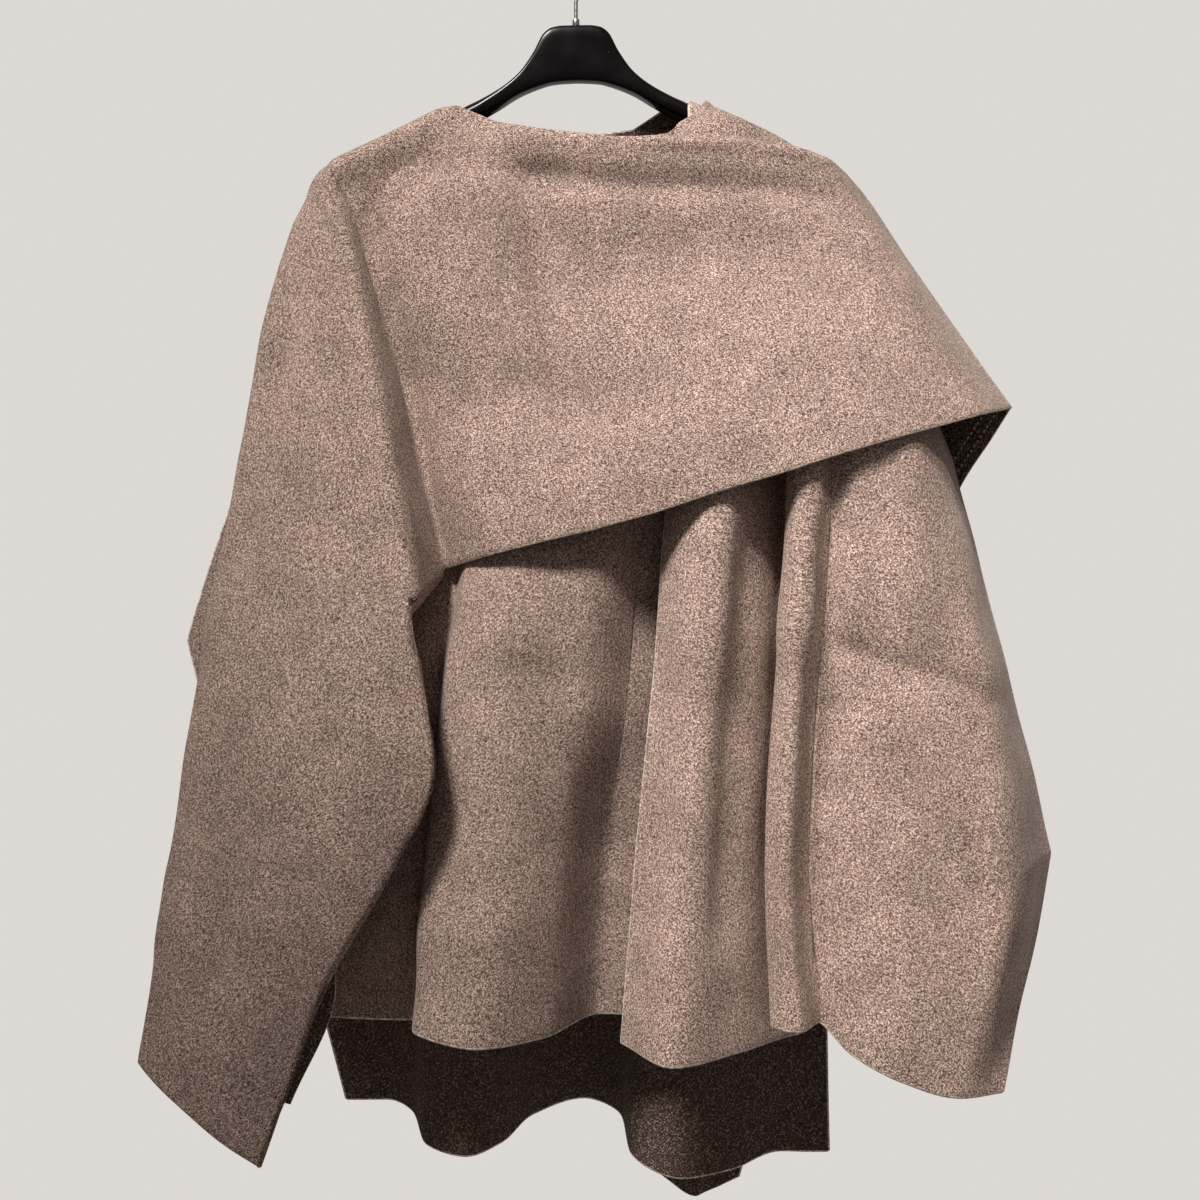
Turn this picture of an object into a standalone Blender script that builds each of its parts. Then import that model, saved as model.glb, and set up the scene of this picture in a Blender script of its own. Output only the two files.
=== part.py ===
"""Wool poncho with a draped scarf, hanging on a coat hanger.

Metres, +Z up, front towards -Y, +X at the wearer's left. The origin is the inside of the hook's top,
where a rail carries it. Each cloth piece is a wall worked out from its fold lines: a short table has
a row for each fold, and smooth curves run down the folds and across them.
"""

import math

import bpy
import numpy as np

NAME = "poncho_on_hanger"

# Steps between one fold line and the next, and between the places down each line
LEFT_FRONT_ACROSS = [3] * 11
RIGHT_FRONT_ACROSS = [3] * 8
FRONT_DOWN = [1, 1, 1, 5, 6, 4]
BACK_ACROSS = [2] * 14
BACK_DOWN = [1, 1, 1, 5, 4, 3, 2]
CHEST_ACROSS = [3, 2, 2, 2, 3, 4, 4, 3, 2, 3, 3, 3]
CHEST_DOWN = [1, 1, 1, 2, 2, 2, 3]
DRAPE_ACROSS = [2, 4, 4, 3, 3]
DRAPE_DOWN = [1, 1, 1, 1, 2, 2, 3, 1, 2, 2, 2, 2, 3]
TAIL_ACROSS = [3] * 5
TAIL_DOWN = [1, 1, 1, 4, 5, 5]

# Cloth and clearances
WALL = 0.0025
SEAM = 0.0003
SEAT = 0.0005
SCARF_SEAT = 0.0008
SCARF_LIFT = SEAT + WALL + SCARF_SEAT

# Hook and ferrule
WIRE_RADIUS = 0.0017
HOOK_INSIDE_RADIUS = 0.018
HOOK_START_ANGLE = math.radians(-55)
HOOK_END_ANGLE = math.radians(215)
HOOK_STEPS = 22
STEM_TOP = -0.052
FERRULE_RADIUS = 0.0031
FERRULE_HEIGHT = 0.006

# Hanger: it hangs one degree down on the wearer's right
HANGER_TOP = -0.072
HANGER_TILT = math.tan(math.radians(1.0))
ARM_START = 0.095
ARM_TIP = 0.203
LEFT_TIP = 0.213
RIGHT_TIP = -0.210
HANGER_RING = 12
# x from the middle, top z, low z, half depth
HANGER_SECTIONS = [
    (0.000, -0.0720, -0.1200, 0.0080),
    (0.012, -0.0721, -0.1205, 0.0080),
    (0.021, -0.0736, -0.1214, 0.0080),
    (0.028, -0.0785, -0.1232, 0.0080),
    (0.037, -0.0950, -0.1262, 0.0080),
    (0.050, -0.1130, -0.1318, 0.0085),
    (0.068, -0.1268, -0.1430, 0.0095),
    (ARM_START, -0.1400, -0.1590, 0.0110),
    (ARM_TIP, -0.1915, -0.2115, 0.0155),
]
HEAD_STEPS = 2

# Angles, from the top of the arm, at which cloth lies over it
OVER_ARM = [math.radians(a) for a in (0, 30, 60, 90)]

# Places on the shoulder seam past the arm's tip, as shares of the way to the chest
SEAM_TOP = (0.0, 0.05, 0.11, 0.20)

# Body fronts and back. Each fold: name, x on the shoulder, then x y z at the chest, hip and hem.
# The last fold of a front, and the first and last of the back, run down the shoulder seam to the wrist.
LEFT_FRONT = [
    ("opening edge", 0.098, (0.083, -0.064, -0.45), (0.051, -0.070, -0.79), (0.039, -0.084, -0.928)),
    ("roll ridge", 0.111, (0.120, -0.094, -0.45), (0.092, -0.105, -0.79), (0.077, -0.131, -0.932)),
    ("roll side", 0.124, (0.150, -0.074, -0.45), (0.135, -0.078, -0.79), (0.128, -0.096, -0.932)),
    ("pleat under", 0.135, (0.188, -0.032, -0.45), (0.180, -0.034, -0.79), (0.186, -0.044, -0.933)),
    ("pleat turn", 0.142, (0.194, -0.054, -0.45), (0.185, -0.050, -0.79), (0.191, -0.060, -0.925)),
    ("pleat left", 0.149, (0.176, -0.084, -0.45), (0.157, -0.080, -0.79), (0.160, -0.093, -0.911)),
    ("pleat front", 0.156, (0.188, -0.098, -0.45), (0.170, -0.097, -0.79), (0.177, -0.110, -0.911)),
    ("pleat valley", 0.164, (0.206, -0.080, -0.45), (0.191, -0.067, -0.79), (0.199, -0.078, -0.912)),
    ("drape near", 0.175, (0.228, -0.089, -0.45), (0.223, -0.084, -0.79), (0.221, -0.100, -0.931)),
    ("drape belly", 0.188, (0.262, -0.091, -0.45), (0.274, -0.097, -0.79), (0.258, -0.112, -0.949)),
    ("drape side", 0.2055, (0.297, -0.068, -0.45), (0.338, -0.096, -0.79), (0.302, -0.108, -0.963)),
    ("shoulder seam", LEFT_TIP, (0.326, 0.000, -0.45), (0.411, 0.000, -0.79), (0.344, -0.088, -0.966)),
]
RIGHT_FRONT = [
    ("under lap", -0.118, (0.104, -0.028, -0.45), (0.092, -0.033, -0.62), (0.067, -0.040, -0.920)),
    ("valley", -0.126, (0.055, -0.036, -0.45), (0.042, -0.031, -0.62), (0.021, -0.035, -0.918)),
    ("ridge slope", -0.136, (0.012, -0.058, -0.45), (-0.002, -0.072, -0.62), (-0.027, -0.092, -0.921)),
    ("ridge", -0.148, (-0.038, -0.065, -0.45), (-0.053, -0.088, -0.62), (-0.078, -0.120, -0.921)),
    ("ridge left", -0.160, (-0.080, -0.050, -0.45), (-0.098, -0.066, -0.62), (-0.126, -0.096, -0.916)),
    ("recess turn", -0.172, (-0.092, -0.032, -0.45), (-0.108, -0.036, -0.62), (-0.134, -0.050, -0.919)),
    ("recess", -0.188, (-0.134, -0.028, -0.45), (-0.150, -0.032, -0.62), (-0.172, -0.041, -0.921)),
    ("recess out", -0.2055, (-0.205, -0.026, -0.44), (-0.228, -0.026, -0.62), (-0.214, -0.036, -0.920)),
    ("shoulder seam", RIGHT_TIP, (-0.272, 0.000, -0.41), (-0.336, 0.000, -0.605), (-0.248, -0.022, -0.915)),
]
# The back has the angle from the arm's top where the fold starts, 90 for the free neckline, and one more
# place, low, between the hip and the hem
BACK = [
    ("right seam", RIGHT_TIP, 0, (-0.272, 0.000, -0.41), (-0.336, 0.000, -0.605),
     (-0.236, 0.072, -0.940), (-0.214, 0.080, -1.033)),
    ("right far", -0.2055, 0, (-0.225, 0.044, -0.45), (-0.232, 0.066, -0.700),
     (-0.192, 0.084, -0.950), (-0.176, 0.084, -1.034)),
    ("right turn", -0.176, 0, (-0.172, 0.050, -0.45), (-0.164, 0.066, -0.750),
     (-0.154, 0.074, -0.950), (-0.152, 0.070, -1.040)),
    ("right near start", -0.148, 0, (-0.142, 0.044, -0.45), (-0.140, 0.044, -0.770),
     (-0.137, 0.042, -0.950), (-0.136, 0.040, -1.059)),
    ("right near", -0.118, 0, (-0.102, 0.040, -0.45), (-0.100, 0.033, -0.790),
     (-0.098, 0.028, -0.950), (-0.098, 0.025, -1.064)),
    ("right near end", -0.104, 50, (-0.070, 0.044, -0.45), (-0.068, 0.044, -0.790),
     (-0.066, 0.042, -0.950), (-0.066, 0.040, -1.057)),
    ("middle slope", -0.072, 90, (-0.044, 0.050, -0.45), (-0.045, 0.060, -0.790),
     (-0.043, 0.066, -0.950), (-0.042, 0.068, -1.043)),
    ("middle far", -0.005, 90, (0.000, 0.056, -0.45), (0.003, 0.078, -0.790),
     (0.005, 0.088, -0.950), (0.006, 0.092, -1.036)),
    ("left turn", 0.050, 90, (0.038, 0.052, -0.45), (0.039, 0.066, -0.790),
     (0.040, 0.070, -0.950), (0.040, 0.072, -1.044)),
    ("left near start", 0.087, 50, (0.060, 0.046, -0.45), (0.053, 0.040, -0.790),
     (0.050, 0.036, -0.950), (0.048, 0.034, -1.064)),
    ("left near", 0.100, 0, (0.096, 0.040, -0.45), (0.094, 0.028, -0.790),
     (0.093, 0.022, -0.950), (0.092, 0.018, -1.081)),
    ("left near end", 0.130, 0, (0.140, 0.042, -0.45), (0.138, 0.036, -0.790),
     (0.138, 0.033, -0.950), (0.138, 0.032, -1.078)),
    ("left far", 0.168, 0, (0.205, 0.042, -0.45), (0.195, 0.050, -0.790),
     (0.185, 0.051, -0.950), (0.184, 0.050, -1.069)),
    ("left side", 0.2055, 0, (0.268, 0.032, -0.45), (0.305, 0.040, -0.790),
     (0.212, 0.055, -0.945), (0.210, 0.052, -1.070)),
    ("left seam", LEFT_TIP, 0, (0.326, 0.000, -0.45), (0.411, 0.000, -0.790),
     (0.226, 0.056, -0.945), (0.228, 0.052, -1.070)),
]
BACK_NECK_DEPTH = 0.022
BACK_NECK_Z = -0.162
BACK_NECK_STEP = 0.010
# Extra clearance where an edge comes up over the arm at the neck
NECK_LIFT = 0.0044

# Scarf over the chest, from the shoulder to the lower edge. On the hanger's arm each line has: name, x,
# the angle from the arm's top where it starts, then x y z below the arm, at the upper and middle chest
# and the edge.
CHEST_ARM = [
    ("crease", -0.2050, 0, (-0.187, -0.027, -0.250), (-0.161, -0.030, -0.334),
     (-0.139, -0.036, -0.419), (-0.109, -0.044, -0.544)),
    ("left", -0.170, 0, (-0.152, -0.029, -0.240), (-0.124, -0.045, -0.320),
     (-0.096, -0.059, -0.420), (-0.060, -0.086, -0.532)),
    ("middle", -0.142, 0, (-0.126, -0.032, -0.228), (-0.096, -0.047, -0.304),
     (-0.062, -0.064, -0.409), (-0.021, -0.097, -0.523)),
    ("neck", -0.120, 0, (-0.104, -0.037, -0.219), (-0.075, -0.048, -0.292),
     (-0.038, -0.068, -0.402), (0.006, -0.102, -0.516)),
    ("neck edge", -0.100, 45, (-0.082, -0.041, -0.212), (-0.052, -0.049, -0.281),
     (-0.014, -0.071, -0.398), (0.034, -0.106, -0.508)),
]
COWL_TURN = 0.007
COWL_INSIDE_SHARE = 0.6
# In the neck, where the top turns in: name, x y z of the turned end, the top fold, below it and so on
CHEST_NECK = [
    ("cowl left", (-0.066, -0.020, -0.166), (-0.064, -0.031, -0.168), (-0.053, -0.041, -0.208),
     (-0.030, -0.047, -0.274), (0.010, -0.080, -0.392), (0.059, -0.109, -0.502)),
    ("cowl", (0.002, -0.024, -0.222), (0.000, -0.046, -0.1815), (0.006, -0.050, -0.215),
     (0.022, -0.052, -0.270), (0.064, -0.086, -0.383), (0.115, -0.117, -0.484)),
    ("cowl right", (0.070, -0.032, -0.224), (0.057, -0.052, -0.188), (0.064, -0.054, -0.218),
     (0.081, -0.056, -0.269), (0.122, -0.090, -0.372), (0.172, -0.121, -0.467)),
]
# On the other shoulder, where the scarf goes on over the arm: name, x on the arm, angles from the arm's top,
# then the top fold and so on
CHEST_FAR = [
    ("neck rise", 0.112, (45, 60, 75), (0.096, -0.050, -0.190), (0.103, -0.053, -0.217),
     (0.119, -0.056, -0.264), (0.160, -0.090, -0.362), (0.210, -0.119, -0.455)),
    ("neck side", 0.1215, (0, 30, 60), (0.127, -0.046, -0.190), (0.134, -0.050, -0.216),
     (0.150, -0.055, -0.259), (0.190, -0.090, -0.353), (0.240, -0.115, -0.446)),
    ("shoulder", 0.168, (0, 30, 60), (0.169, -0.040, -0.190), (0.178, -0.046, -0.215),
     (0.196, -0.052, -0.255), (0.236, -0.083, -0.341), (0.287, -0.100, -0.432)),
    ("near tip", 0.2095, (0, 30, 60), (0.210, -0.033, -0.200), (0.220, -0.037, -0.219),
     (0.242, -0.044, -0.256), (0.280, -0.066, -0.333), (0.330, -0.076, -0.420)),
]
# The fold at the scarf's far side: x on the shoulder, then x y z of places down to the corner
CHEST_FOLD_X = 0.2275
CHEST_FOLD_SHARES = (0.0, 0.35, 0.7)
CHEST_FOLD = [(0.2360, -0.003, -0.2050), (0.2462, -0.004, -0.2173), (0.2830, -0.009, -0.2752),
              (0.3208, -0.018, -0.3348), (0.3680, -0.030, -0.4085)]

# Scarf's hanging end. Each ring: name, inner edge, ridge, left fold and end of the layer behind, x y z.
# Where the inner edge is one height, it lies on the chest's crease at that height.
DRAPE = [
    ("under tip", -0.229, (-0.2065, -0.0315, -0.2290),
     (-0.2345, -0.013, -0.2300), (-0.2352, -0.006, -0.2315)),
    ("below tip", -0.250, (-0.199, -0.037, -0.250),
     (-0.243, -0.018, -0.251), (-0.243, -0.009, -0.253)),
    ("shoulder", -0.334, (-0.175, -0.056, -0.344),
     (-0.265, -0.031, -0.340), (-0.264, -0.020, -0.342)),
    ("chest", -0.419, (-0.155, -0.074, -0.431),
     (-0.278, -0.043, -0.427), (-0.268, -0.031, -0.430)),
    ("scarf edge", -0.544, (-0.131, -0.098, -0.562),
     (-0.295, -0.056, -0.537), (-0.262, -0.040, -0.545)),
    ("flank foot", (-0.106, -0.050, -0.555), (-0.129, -0.100, -0.574),
     (-0.297, -0.057, -0.549), (-0.260, -0.041, -0.557)),
    ("free edge", (-0.121, -0.102, -0.625), (-0.119, -0.112, -0.636),
     (-0.313, -0.064, -0.645), (-0.245, -0.045, -0.650)),
    ("corner", (-0.111, -0.113, -0.700), (-0.107, -0.122, -0.704),
     (-0.325, -0.068, -0.728), (-0.225, -0.049, -0.740)),
    ("upper end", (-0.144, -0.111, -0.780), (-0.140, -0.120, -0.782),
     (-0.335, -0.072, -0.800), (-0.205, -0.053, -0.805)),
    ("lower end", (-0.198, -0.105, -0.876), (-0.194, -0.114, -0.878),
     (-0.346, -0.076, -0.876), (-0.198, -0.058, -0.890)),
    ("end edge", (-0.253, -0.094, -1.020), (-0.248, -0.102, -1.023),
     (-0.354, -0.082, -0.944), (-0.234, -0.064, -0.985)),
]
# Its first rings, over the shoulder: angle from the arm's top where the ring starts, left fold, end behind
DRAPE_TOP = [
    (0, (-0.2235, -0.003, -0.2015), (-0.2245, 0.000, -0.2030)),
    (45, (-0.2265, -0.006, -0.2100), (-0.2275, -0.002, -0.2115)),
    (90, (-0.2300, -0.010, -0.2190), (-0.2310, -0.004, -0.2205)),
]
DRAPE_TOP_X = -0.2077
DRAPE_TOP_LIFT = SCARF_LIFT + WALL + 0.0018
DRAPE_NEAR = 0.33
DRAPE_FAR = 0.72
DRAPE_TOP_RIDGE = 0.2
DRAPE_GAP = 0.0012
CREASE_STEPS = 8
DRAPE_BULGE = 0.10

# Scarf's end down the back. Each line: name, x on the shoulder, then x y z of two places and the end
TAIL = [
    ("inner edge", 0.1215, (0.112, 0.060, -0.30), (0.082, 0.100, -0.70), (0.060, 0.086, -1.085)),
    ("inner fold", 0.165, (0.152, 0.068, -0.33), (0.107, 0.116, -0.74), (0.084, 0.100, -1.116)),
    ("middle fold", 0.2095, (0.208, 0.064, -0.37), (0.140, 0.108, -0.77), (0.110, 0.088, -1.127)),
]
# Past the arm it starts from the chest's fold: which place there, then as above
TAIL_OUTER = [
    ("outer fold", 3, (0.268, 0.060, -0.46), (0.182, 0.110, -0.80), (0.134, 0.098, -1.121)),
    ("outer edge", 4, (0.338, 0.024, -0.475), (0.236, 0.088, -0.80), (0.150, 0.082, -1.106)),
]
TAIL_GAP = 0.0015
TAIL_TIP_SHARE = 0.4
TAIL_START = (0.0, 0.08, 0.16, 0.3)


def clear_scene():
    for thing in list(bpy.data.objects):
        bpy.data.objects.remove(thing, do_unlink=True)


def material(name, colour, roughness, metallic=0.0):
    made = bpy.data.materials.new(name)
    made.use_nodes = True
    shader = made.node_tree.nodes["Principled BSDF"]
    shader.inputs["Base Color"].default_value = (*colour, 1.0)
    shader.inputs["Roughness"].default_value = roughness
    shader.inputs["Metallic"].default_value = metallic
    return made


def add(name, data, look, collection, parent):
    thing = bpy.data.objects.new(name, data)
    data.materials.append(look)
    collection.objects.link(thing)
    thing.parent = parent
    return thing


def spline(knots, points, at):
    """The smooth curve through the points, which lie at the knots, read at the places asked for.

    Its slope is zero where the points turn back, so it never swings past them.
    """
    knots, points, at = (np.asarray(x, float) for x in (knots, points, at))
    gaps = np.diff(knots)
    shape = (-1,) + (1,) * (points.ndim - 1)
    slopes = np.diff(points, axis=0) / gaps.reshape(shape)
    product = slopes[:-1] * slopes[1:]
    total = slopes[:-1] + slopes[1:]
    inner = np.where(product > 0, 2 * product / np.where(product > 0, total, 1.0), 0.0)
    tangents = np.concatenate([slopes[:1], inner, slopes[-1:]])
    i = np.clip(np.searchsorted(knots, at, side="right") - 1, 0, len(gaps) - 1)
    h = gaps[i].reshape(shape)
    t = ((at - knots[i]) / gaps[i]).reshape(shape)
    return (
        points[i] * (2 * t**3 - 3 * t**2 + 1)
        + points[i + 1] * (3 * t**2 - 2 * t**3)
        + tangents[i] * h * (t**3 - 2 * t**2 + t)
        + tangents[i + 1] * h * (t**3 - t**2)
    )


def stations(knots, steps):
    """The knots, with each stretch between two of them divided into that many steps."""
    cuts = [np.linspace(a, b, n, endpoint=False) for a, b, n in zip(knots[:-1], knots[1:], steps)]
    return np.concatenate(cuts + [knots[-1:]])


def smooth(line, steps):
    """More points on the smooth curve through a line's points: steps divides each stretch."""
    line = np.array(line, float)
    knots = np.concatenate([[0.0], np.cumsum(np.linalg.norm(np.diff(line, axis=0), axis=1))])
    return spline(knots, line, stations(knots, steps))


def straight(line, steps):
    """More points on the straight stretches between a line's points."""
    cuts = [np.linspace(a, b, n, endpoint=False) for a, b, n in zip(line[:-1], line[1:], steps)]
    return np.concatenate(cuts + [line[-1:]])


def loft(lines, across, along, flat=0):
    """A grid on the smooth surface through lines of equal length; the first rows run straight across."""
    fine = np.array([smooth(line, along) for line in lines])
    rows = [(straight if k < flat else smooth)(row, across) for k, row in enumerate(fine.swapaxes(0, 1))]
    return np.array(rows).swapaxes(0, 1)


def wall(name, grid, flip, look, collection, parent, side=1.0):
    """A cloth wall on a grid of points: the grid is its inner face, or with side -1 its outer one."""
    rows, columns = grid.shape[:2]
    index = np.arange(rows * columns).reshape(rows, columns)
    quads = np.stack([index[:-1, :-1], index[1:, :-1], index[1:, 1:], index[:-1, 1:]], axis=-1)
    quads = quads.reshape(-1, 4)
    mesh = bpy.data.meshes.new(name)
    mesh.from_pydata(grid.reshape(-1, 3).tolist(), [], (quads[:, ::-1] if flip else quads).tolist())
    mesh.shade_smooth()
    thing = add(name, mesh, look, collection, parent)
    shell = thing.modifiers.new("wall", "SOLIDIFY")
    shell.thickness = WALL
    shell.offset = side
    return thing


def hanger_sections():
    """x, top z, low z and half depth of every section, from tip to tip."""
    head = [row for row in HANGER_SECTIONS if row[0] <= ARM_START]
    arm = [row for row in HANGER_SECTIONS if row[0] > ARM_START]
    both = np.array([(-row[0], *row[1:]) for row in reversed(head[1:])] + head)
    fine = spline(both[:, 0], both, stations(both[:, 0], [HEAD_STEPS] * (len(both) - 1)))
    rows = [(-row[0], *row[1:]) for row in reversed(arm)] + fine.tolist() + arm
    return np.array([(x, top + x * HANGER_TILT, low + x * HANGER_TILT, half) for x, top, low, half in rows])


SECTIONS = hanger_sections()
ARM_SLOPE = (HANGER_SECTIONS[-2][1] - HANGER_SECTIONS[-1][1]) / (ARM_TIP - ARM_START)


def over_hanger(x, angle, lift):
    """A point that far above the hanger's arm at x, at an angle from its top: forward is positive."""
    top, low, half = (np.interp(x, SECTIONS[:, 0], SECTIONS[:, k]) for k in (1, 2, 3))
    past = max(abs(x) - ARM_TIP, 0.0)
    drop = past * (ARM_SLOPE - math.copysign(HANGER_TILT, x))
    top, low = top - drop, low - drop
    tall = (top - low) / 2
    return (x, -(half + lift) * math.sin(angle), (top + low) / 2 + (tall + lift) * math.cos(angle))


def hanger_body(look, collection, parent):
    """Moulded hanger: rounded sections lofted from tip to tip."""
    angles = [2 * math.pi * k / HANGER_RING for k in range(HANGER_RING)]
    points = [over_hanger(row[0], angle, 0.0) for row in SECTIONS for angle in angles]
    faces = []
    for s in range(len(SECTIONS) - 1):
        for k in range(HANGER_RING):
            a, b = s * HANGER_RING + k, s * HANGER_RING + (k + 1) % HANGER_RING
            faces.append((a, b, b + HANGER_RING, a + HANGER_RING))
    last = (len(SECTIONS) - 1) * HANGER_RING
    faces.append(tuple(reversed(range(HANGER_RING))))
    faces.append(tuple(last + k for k in range(HANGER_RING)))
    mesh = bpy.data.meshes.new("hanger_body")
    mesh.from_pydata(points, [], faces)
    mesh.shade_smooth()
    mesh.set_sharp_from_angle(angle=math.radians(50))
    return add("hanger_body", mesh, look, collection, parent)


def hook_path():
    """Points along the wire, from its foot up round the hook to its free end."""
    ring = HOOK_INSIDE_RADIUS + WIRE_RADIUS
    middle = -HOOK_INSIDE_RADIUS
    start = (ring * math.cos(HOOK_START_ANGLE), middle + ring * math.sin(HOOK_START_ANGLE))
    corner = (0.0, start[1] - start[0] * math.tan(HOOK_START_ANGLE + math.pi / 2))
    path = [(0.0, HANGER_TOP + SEAM), (0.0, STEM_TOP)]
    for k in range(1, 7):
        t = k / 7
        path.append(tuple((1 - t) ** 2 * f + 2 * t * (1 - t) * c + t * t * e
                          for f, c, e in zip((0.0, STEM_TOP), corner, start)))
    for k in range(HOOK_STEPS + 1):
        angle = HOOK_START_ANGLE + (HOOK_END_ANGLE - HOOK_START_ANGLE) * k / HOOK_STEPS
        path.append((ring * math.cos(angle), middle + ring * math.sin(angle)))
    return path


def hanger_hook(look, collection, parent):
    """Bent wire with flat ends."""
    curve = bpy.data.curves.new("hanger_hook", "CURVE")
    curve.dimensions = "3D"
    curve.bevel_depth = WIRE_RADIUS
    curve.bevel_resolution = 2
    curve.use_fill_caps = True
    path = hook_path()
    line = curve.splines.new("POLY")
    line.points.add(len(path) - 1)
    for point, (x, z) in zip(line.points, path):
        point.co = (x, 0.0, z, 1.0)
    return add("hanger_hook", curve, look, collection, parent)


def hook_ferrule(look, collection, parent):
    """Turned collar round the foot of the wire."""
    bore = WIRE_RADIUS + SEAM
    low = HANGER_TOP + SEAM
    high = low + FERRULE_HEIGHT
    profile = [(FERRULE_RADIUS, 0, high), (FERRULE_RADIUS, 0, low), (bore, 0, low), (bore, 0, high)]
    mesh = bpy.data.meshes.new("hook_ferrule")
    mesh.from_pydata(profile, [(0, 1), (1, 2), (2, 3), (3, 0)], [])
    thing = add("hook_ferrule", mesh, look, collection, parent)
    turn = thing.modifiers.new("turn", "SCREW")
    turn.steps = 16
    turn.render_steps = 16
    turn.use_merge_vertices = True
    turn.merge_threshold = 0.0001
    return thing


def mix(a, b, share):
    return tuple(p + (q - p) * share for p, q in zip(a, b))


def seam_top(x, chest, side):
    """The top of a fold on the shoulder seam, beyond the arm's tip: side is -1 in front and 1 behind."""
    tip = over_hanger(x, 0.0, SEAT)
    line = [mix(tip, chest, share) for share in SEAM_TOP]
    return [(point[0], side * SEAM / 2, point[2]) for point in line]


def arm_top(x, side, start=0):
    """The top of a fold over the hanger's arm, from its top, or an angle from it, to its front or back."""
    lift = SEAT + (NECK_LIFT if start else 0.0)
    angles = np.linspace(math.radians(start), OVER_ARM[-1], len(OVER_ARM))
    line = [over_hanger(x, -side * angle, lift) for angle in angles]
    return [(line[0][0], line[0][1] + side * SEAM / 2, line[0][2])] + line[1:]


def front_lines(folds):
    """Fold lines of a front, from the shoulder to the hem."""
    lines = []
    for name, x, chest, hip, hem in folds:
        if name == "shoulder seam":
            below = [(p[0], -SEAM / 2, p[2]) for p in (chest, hip)]
            lines.append(seam_top(x, chest, -1) + below + [hem])
        else:
            lines.append(arm_top(x, -1) + [chest, hip, hem])
    return lines


def back_lines():
    """Fold lines of the back, from the shoulder or the neckline to the hem."""
    lines = []
    for name, x, start, chest, hip, low, hem in BACK:
        if name.endswith("seam"):
            below = [(p[0], SEAM / 2, p[2]) for p in (chest, hip)]
            lines.append(seam_top(x, chest, 1) + below + [low, hem])
        elif start == 90:
            scoop = BACK_NECK_Z + (over_hanger(ARM_START, 0.0, SEAT)[2] - BACK_NECK_Z) * (x / ARM_START) ** 2
            top = [(x, BACK_NECK_DEPTH, scoop - BACK_NECK_STEP * k) for k in range(len(OVER_ARM))]
            lines.append(top + [chest, hip, low, hem])
        else:
            lines.append(arm_top(x, 1, start) + [chest, hip, low, hem])
    return lines


def seated(x, angle, side):
    """A place on the scarf's seat over the arm, at the side of the line where its stretches meet."""
    point = over_hanger(x, angle, SCARF_LIFT)
    return (point[0], point[1] + side * SEAM / 2, point[2])


def chest_lines():
    """Lines of the scarf over the chest, from the shoulder or the turned top to its lower edge."""
    lines = []
    for _, x, start, *below in CHEST_ARM:
        lift = SCARF_LIFT + (NECK_LIFT if start else 0.0)
        angles = np.linspace(math.radians(start), OVER_ARM[-1], len(OVER_ARM))
        lines.append([over_hanger(x, angle, lift) for angle in angles] + below)
    for _, end, fold, *below in CHEST_NECK:
        turn = min(COWL_TURN, (end[1] - fold[1]) / 2)
        behind = (fold[0], fold[1] + turn, fold[2] - turn / 4)
        lines.append([end, mix(end, behind, COWL_INSIDE_SHARE), behind, fold] + below)
    for _, x, angles, fold, *below in CHEST_FAR:
        lifts = [SCARF_LIFT + (NECK_LIFT if angle > 30 else 0.0) for angle in angles]
        arm = [over_hanger(x, math.radians(angle), lift) for angle, lift in zip(angles, lifts)]
        arm[0] = (arm[0][0], arm[0][1] - SEAM / 2, arm[0][2])
        lines.append(arm + [fold] + below)
    first = seated(CHEST_FOLD_X, 0.0, -1)
    lines.append([mix(first, CHEST_FOLD[0], share) for share in CHEST_FOLD_SHARES] + CHEST_FOLD)
    return lines


def drape_rings():
    """Rings of the scarf's hanging end, from the shoulder to the end edge, on its outer face."""
    crease = chest_lines()[0]
    crease = smooth(crease, [CREASE_STEPS] * (len(crease) - 1))[::-1]
    places = []
    for angle, fold, behind in DRAPE_TOP:
        inner = over_hanger(DRAPE_TOP_X, math.radians(angle), DRAPE_TOP_LIFT)
        places.append((inner, mix(inner, fold, DRAPE_TOP_RIDGE), fold, behind))
    for _, inner, ridge, fold, behind in DRAPE:
        if isinstance(inner, float):
            x, y, z = (np.interp(inner, crease[:, 2], crease[:, k]) for k in range(3))
            inner = (x, y - WALL - SEAT, z)
        places.append(((inner[0] - DRAPE_GAP, inner[1], inner[2]), ridge, fold, behind))
    rings = []
    for inner, ridge, fold, behind in places:
        bulge = DRAPE_BULGE * math.dist(ridge, fold)
        belly = [mix(ridge, fold, share) for share in (DRAPE_NEAR, DRAPE_FAR)]
        rings.append([inner, ridge] + [(x, y - bulge, z) for x, y, z in belly] + [fold, behind])
    return rings


def tail_lines():
    """Lines of the scarf's end down the back, from the shoulder to its end."""
    lines = []
    for _, x, *below in TAIL:
        lines.append([seated(x, -angle, 1) for angle in OVER_ARM] + below)
    tip = seated(CHEST_FOLD_X, 0.0, 1)
    below = [mix(a, b, TAIL_TIP_SHARE) for a, b in zip(TAIL[-1][2:], TAIL_OUTER[0][2:])]
    lines.append([mix(tip, below[0], share) for share in TAIL_START] + below)
    for _, place, *below in TAIL_OUTER:
        x, y, z = CHEST_FOLD[place]
        top = (x, y + TAIL_GAP, z)
        lines.append([mix(top, below[0], share) for share in TAIL_START] + below)
    return lines


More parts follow.
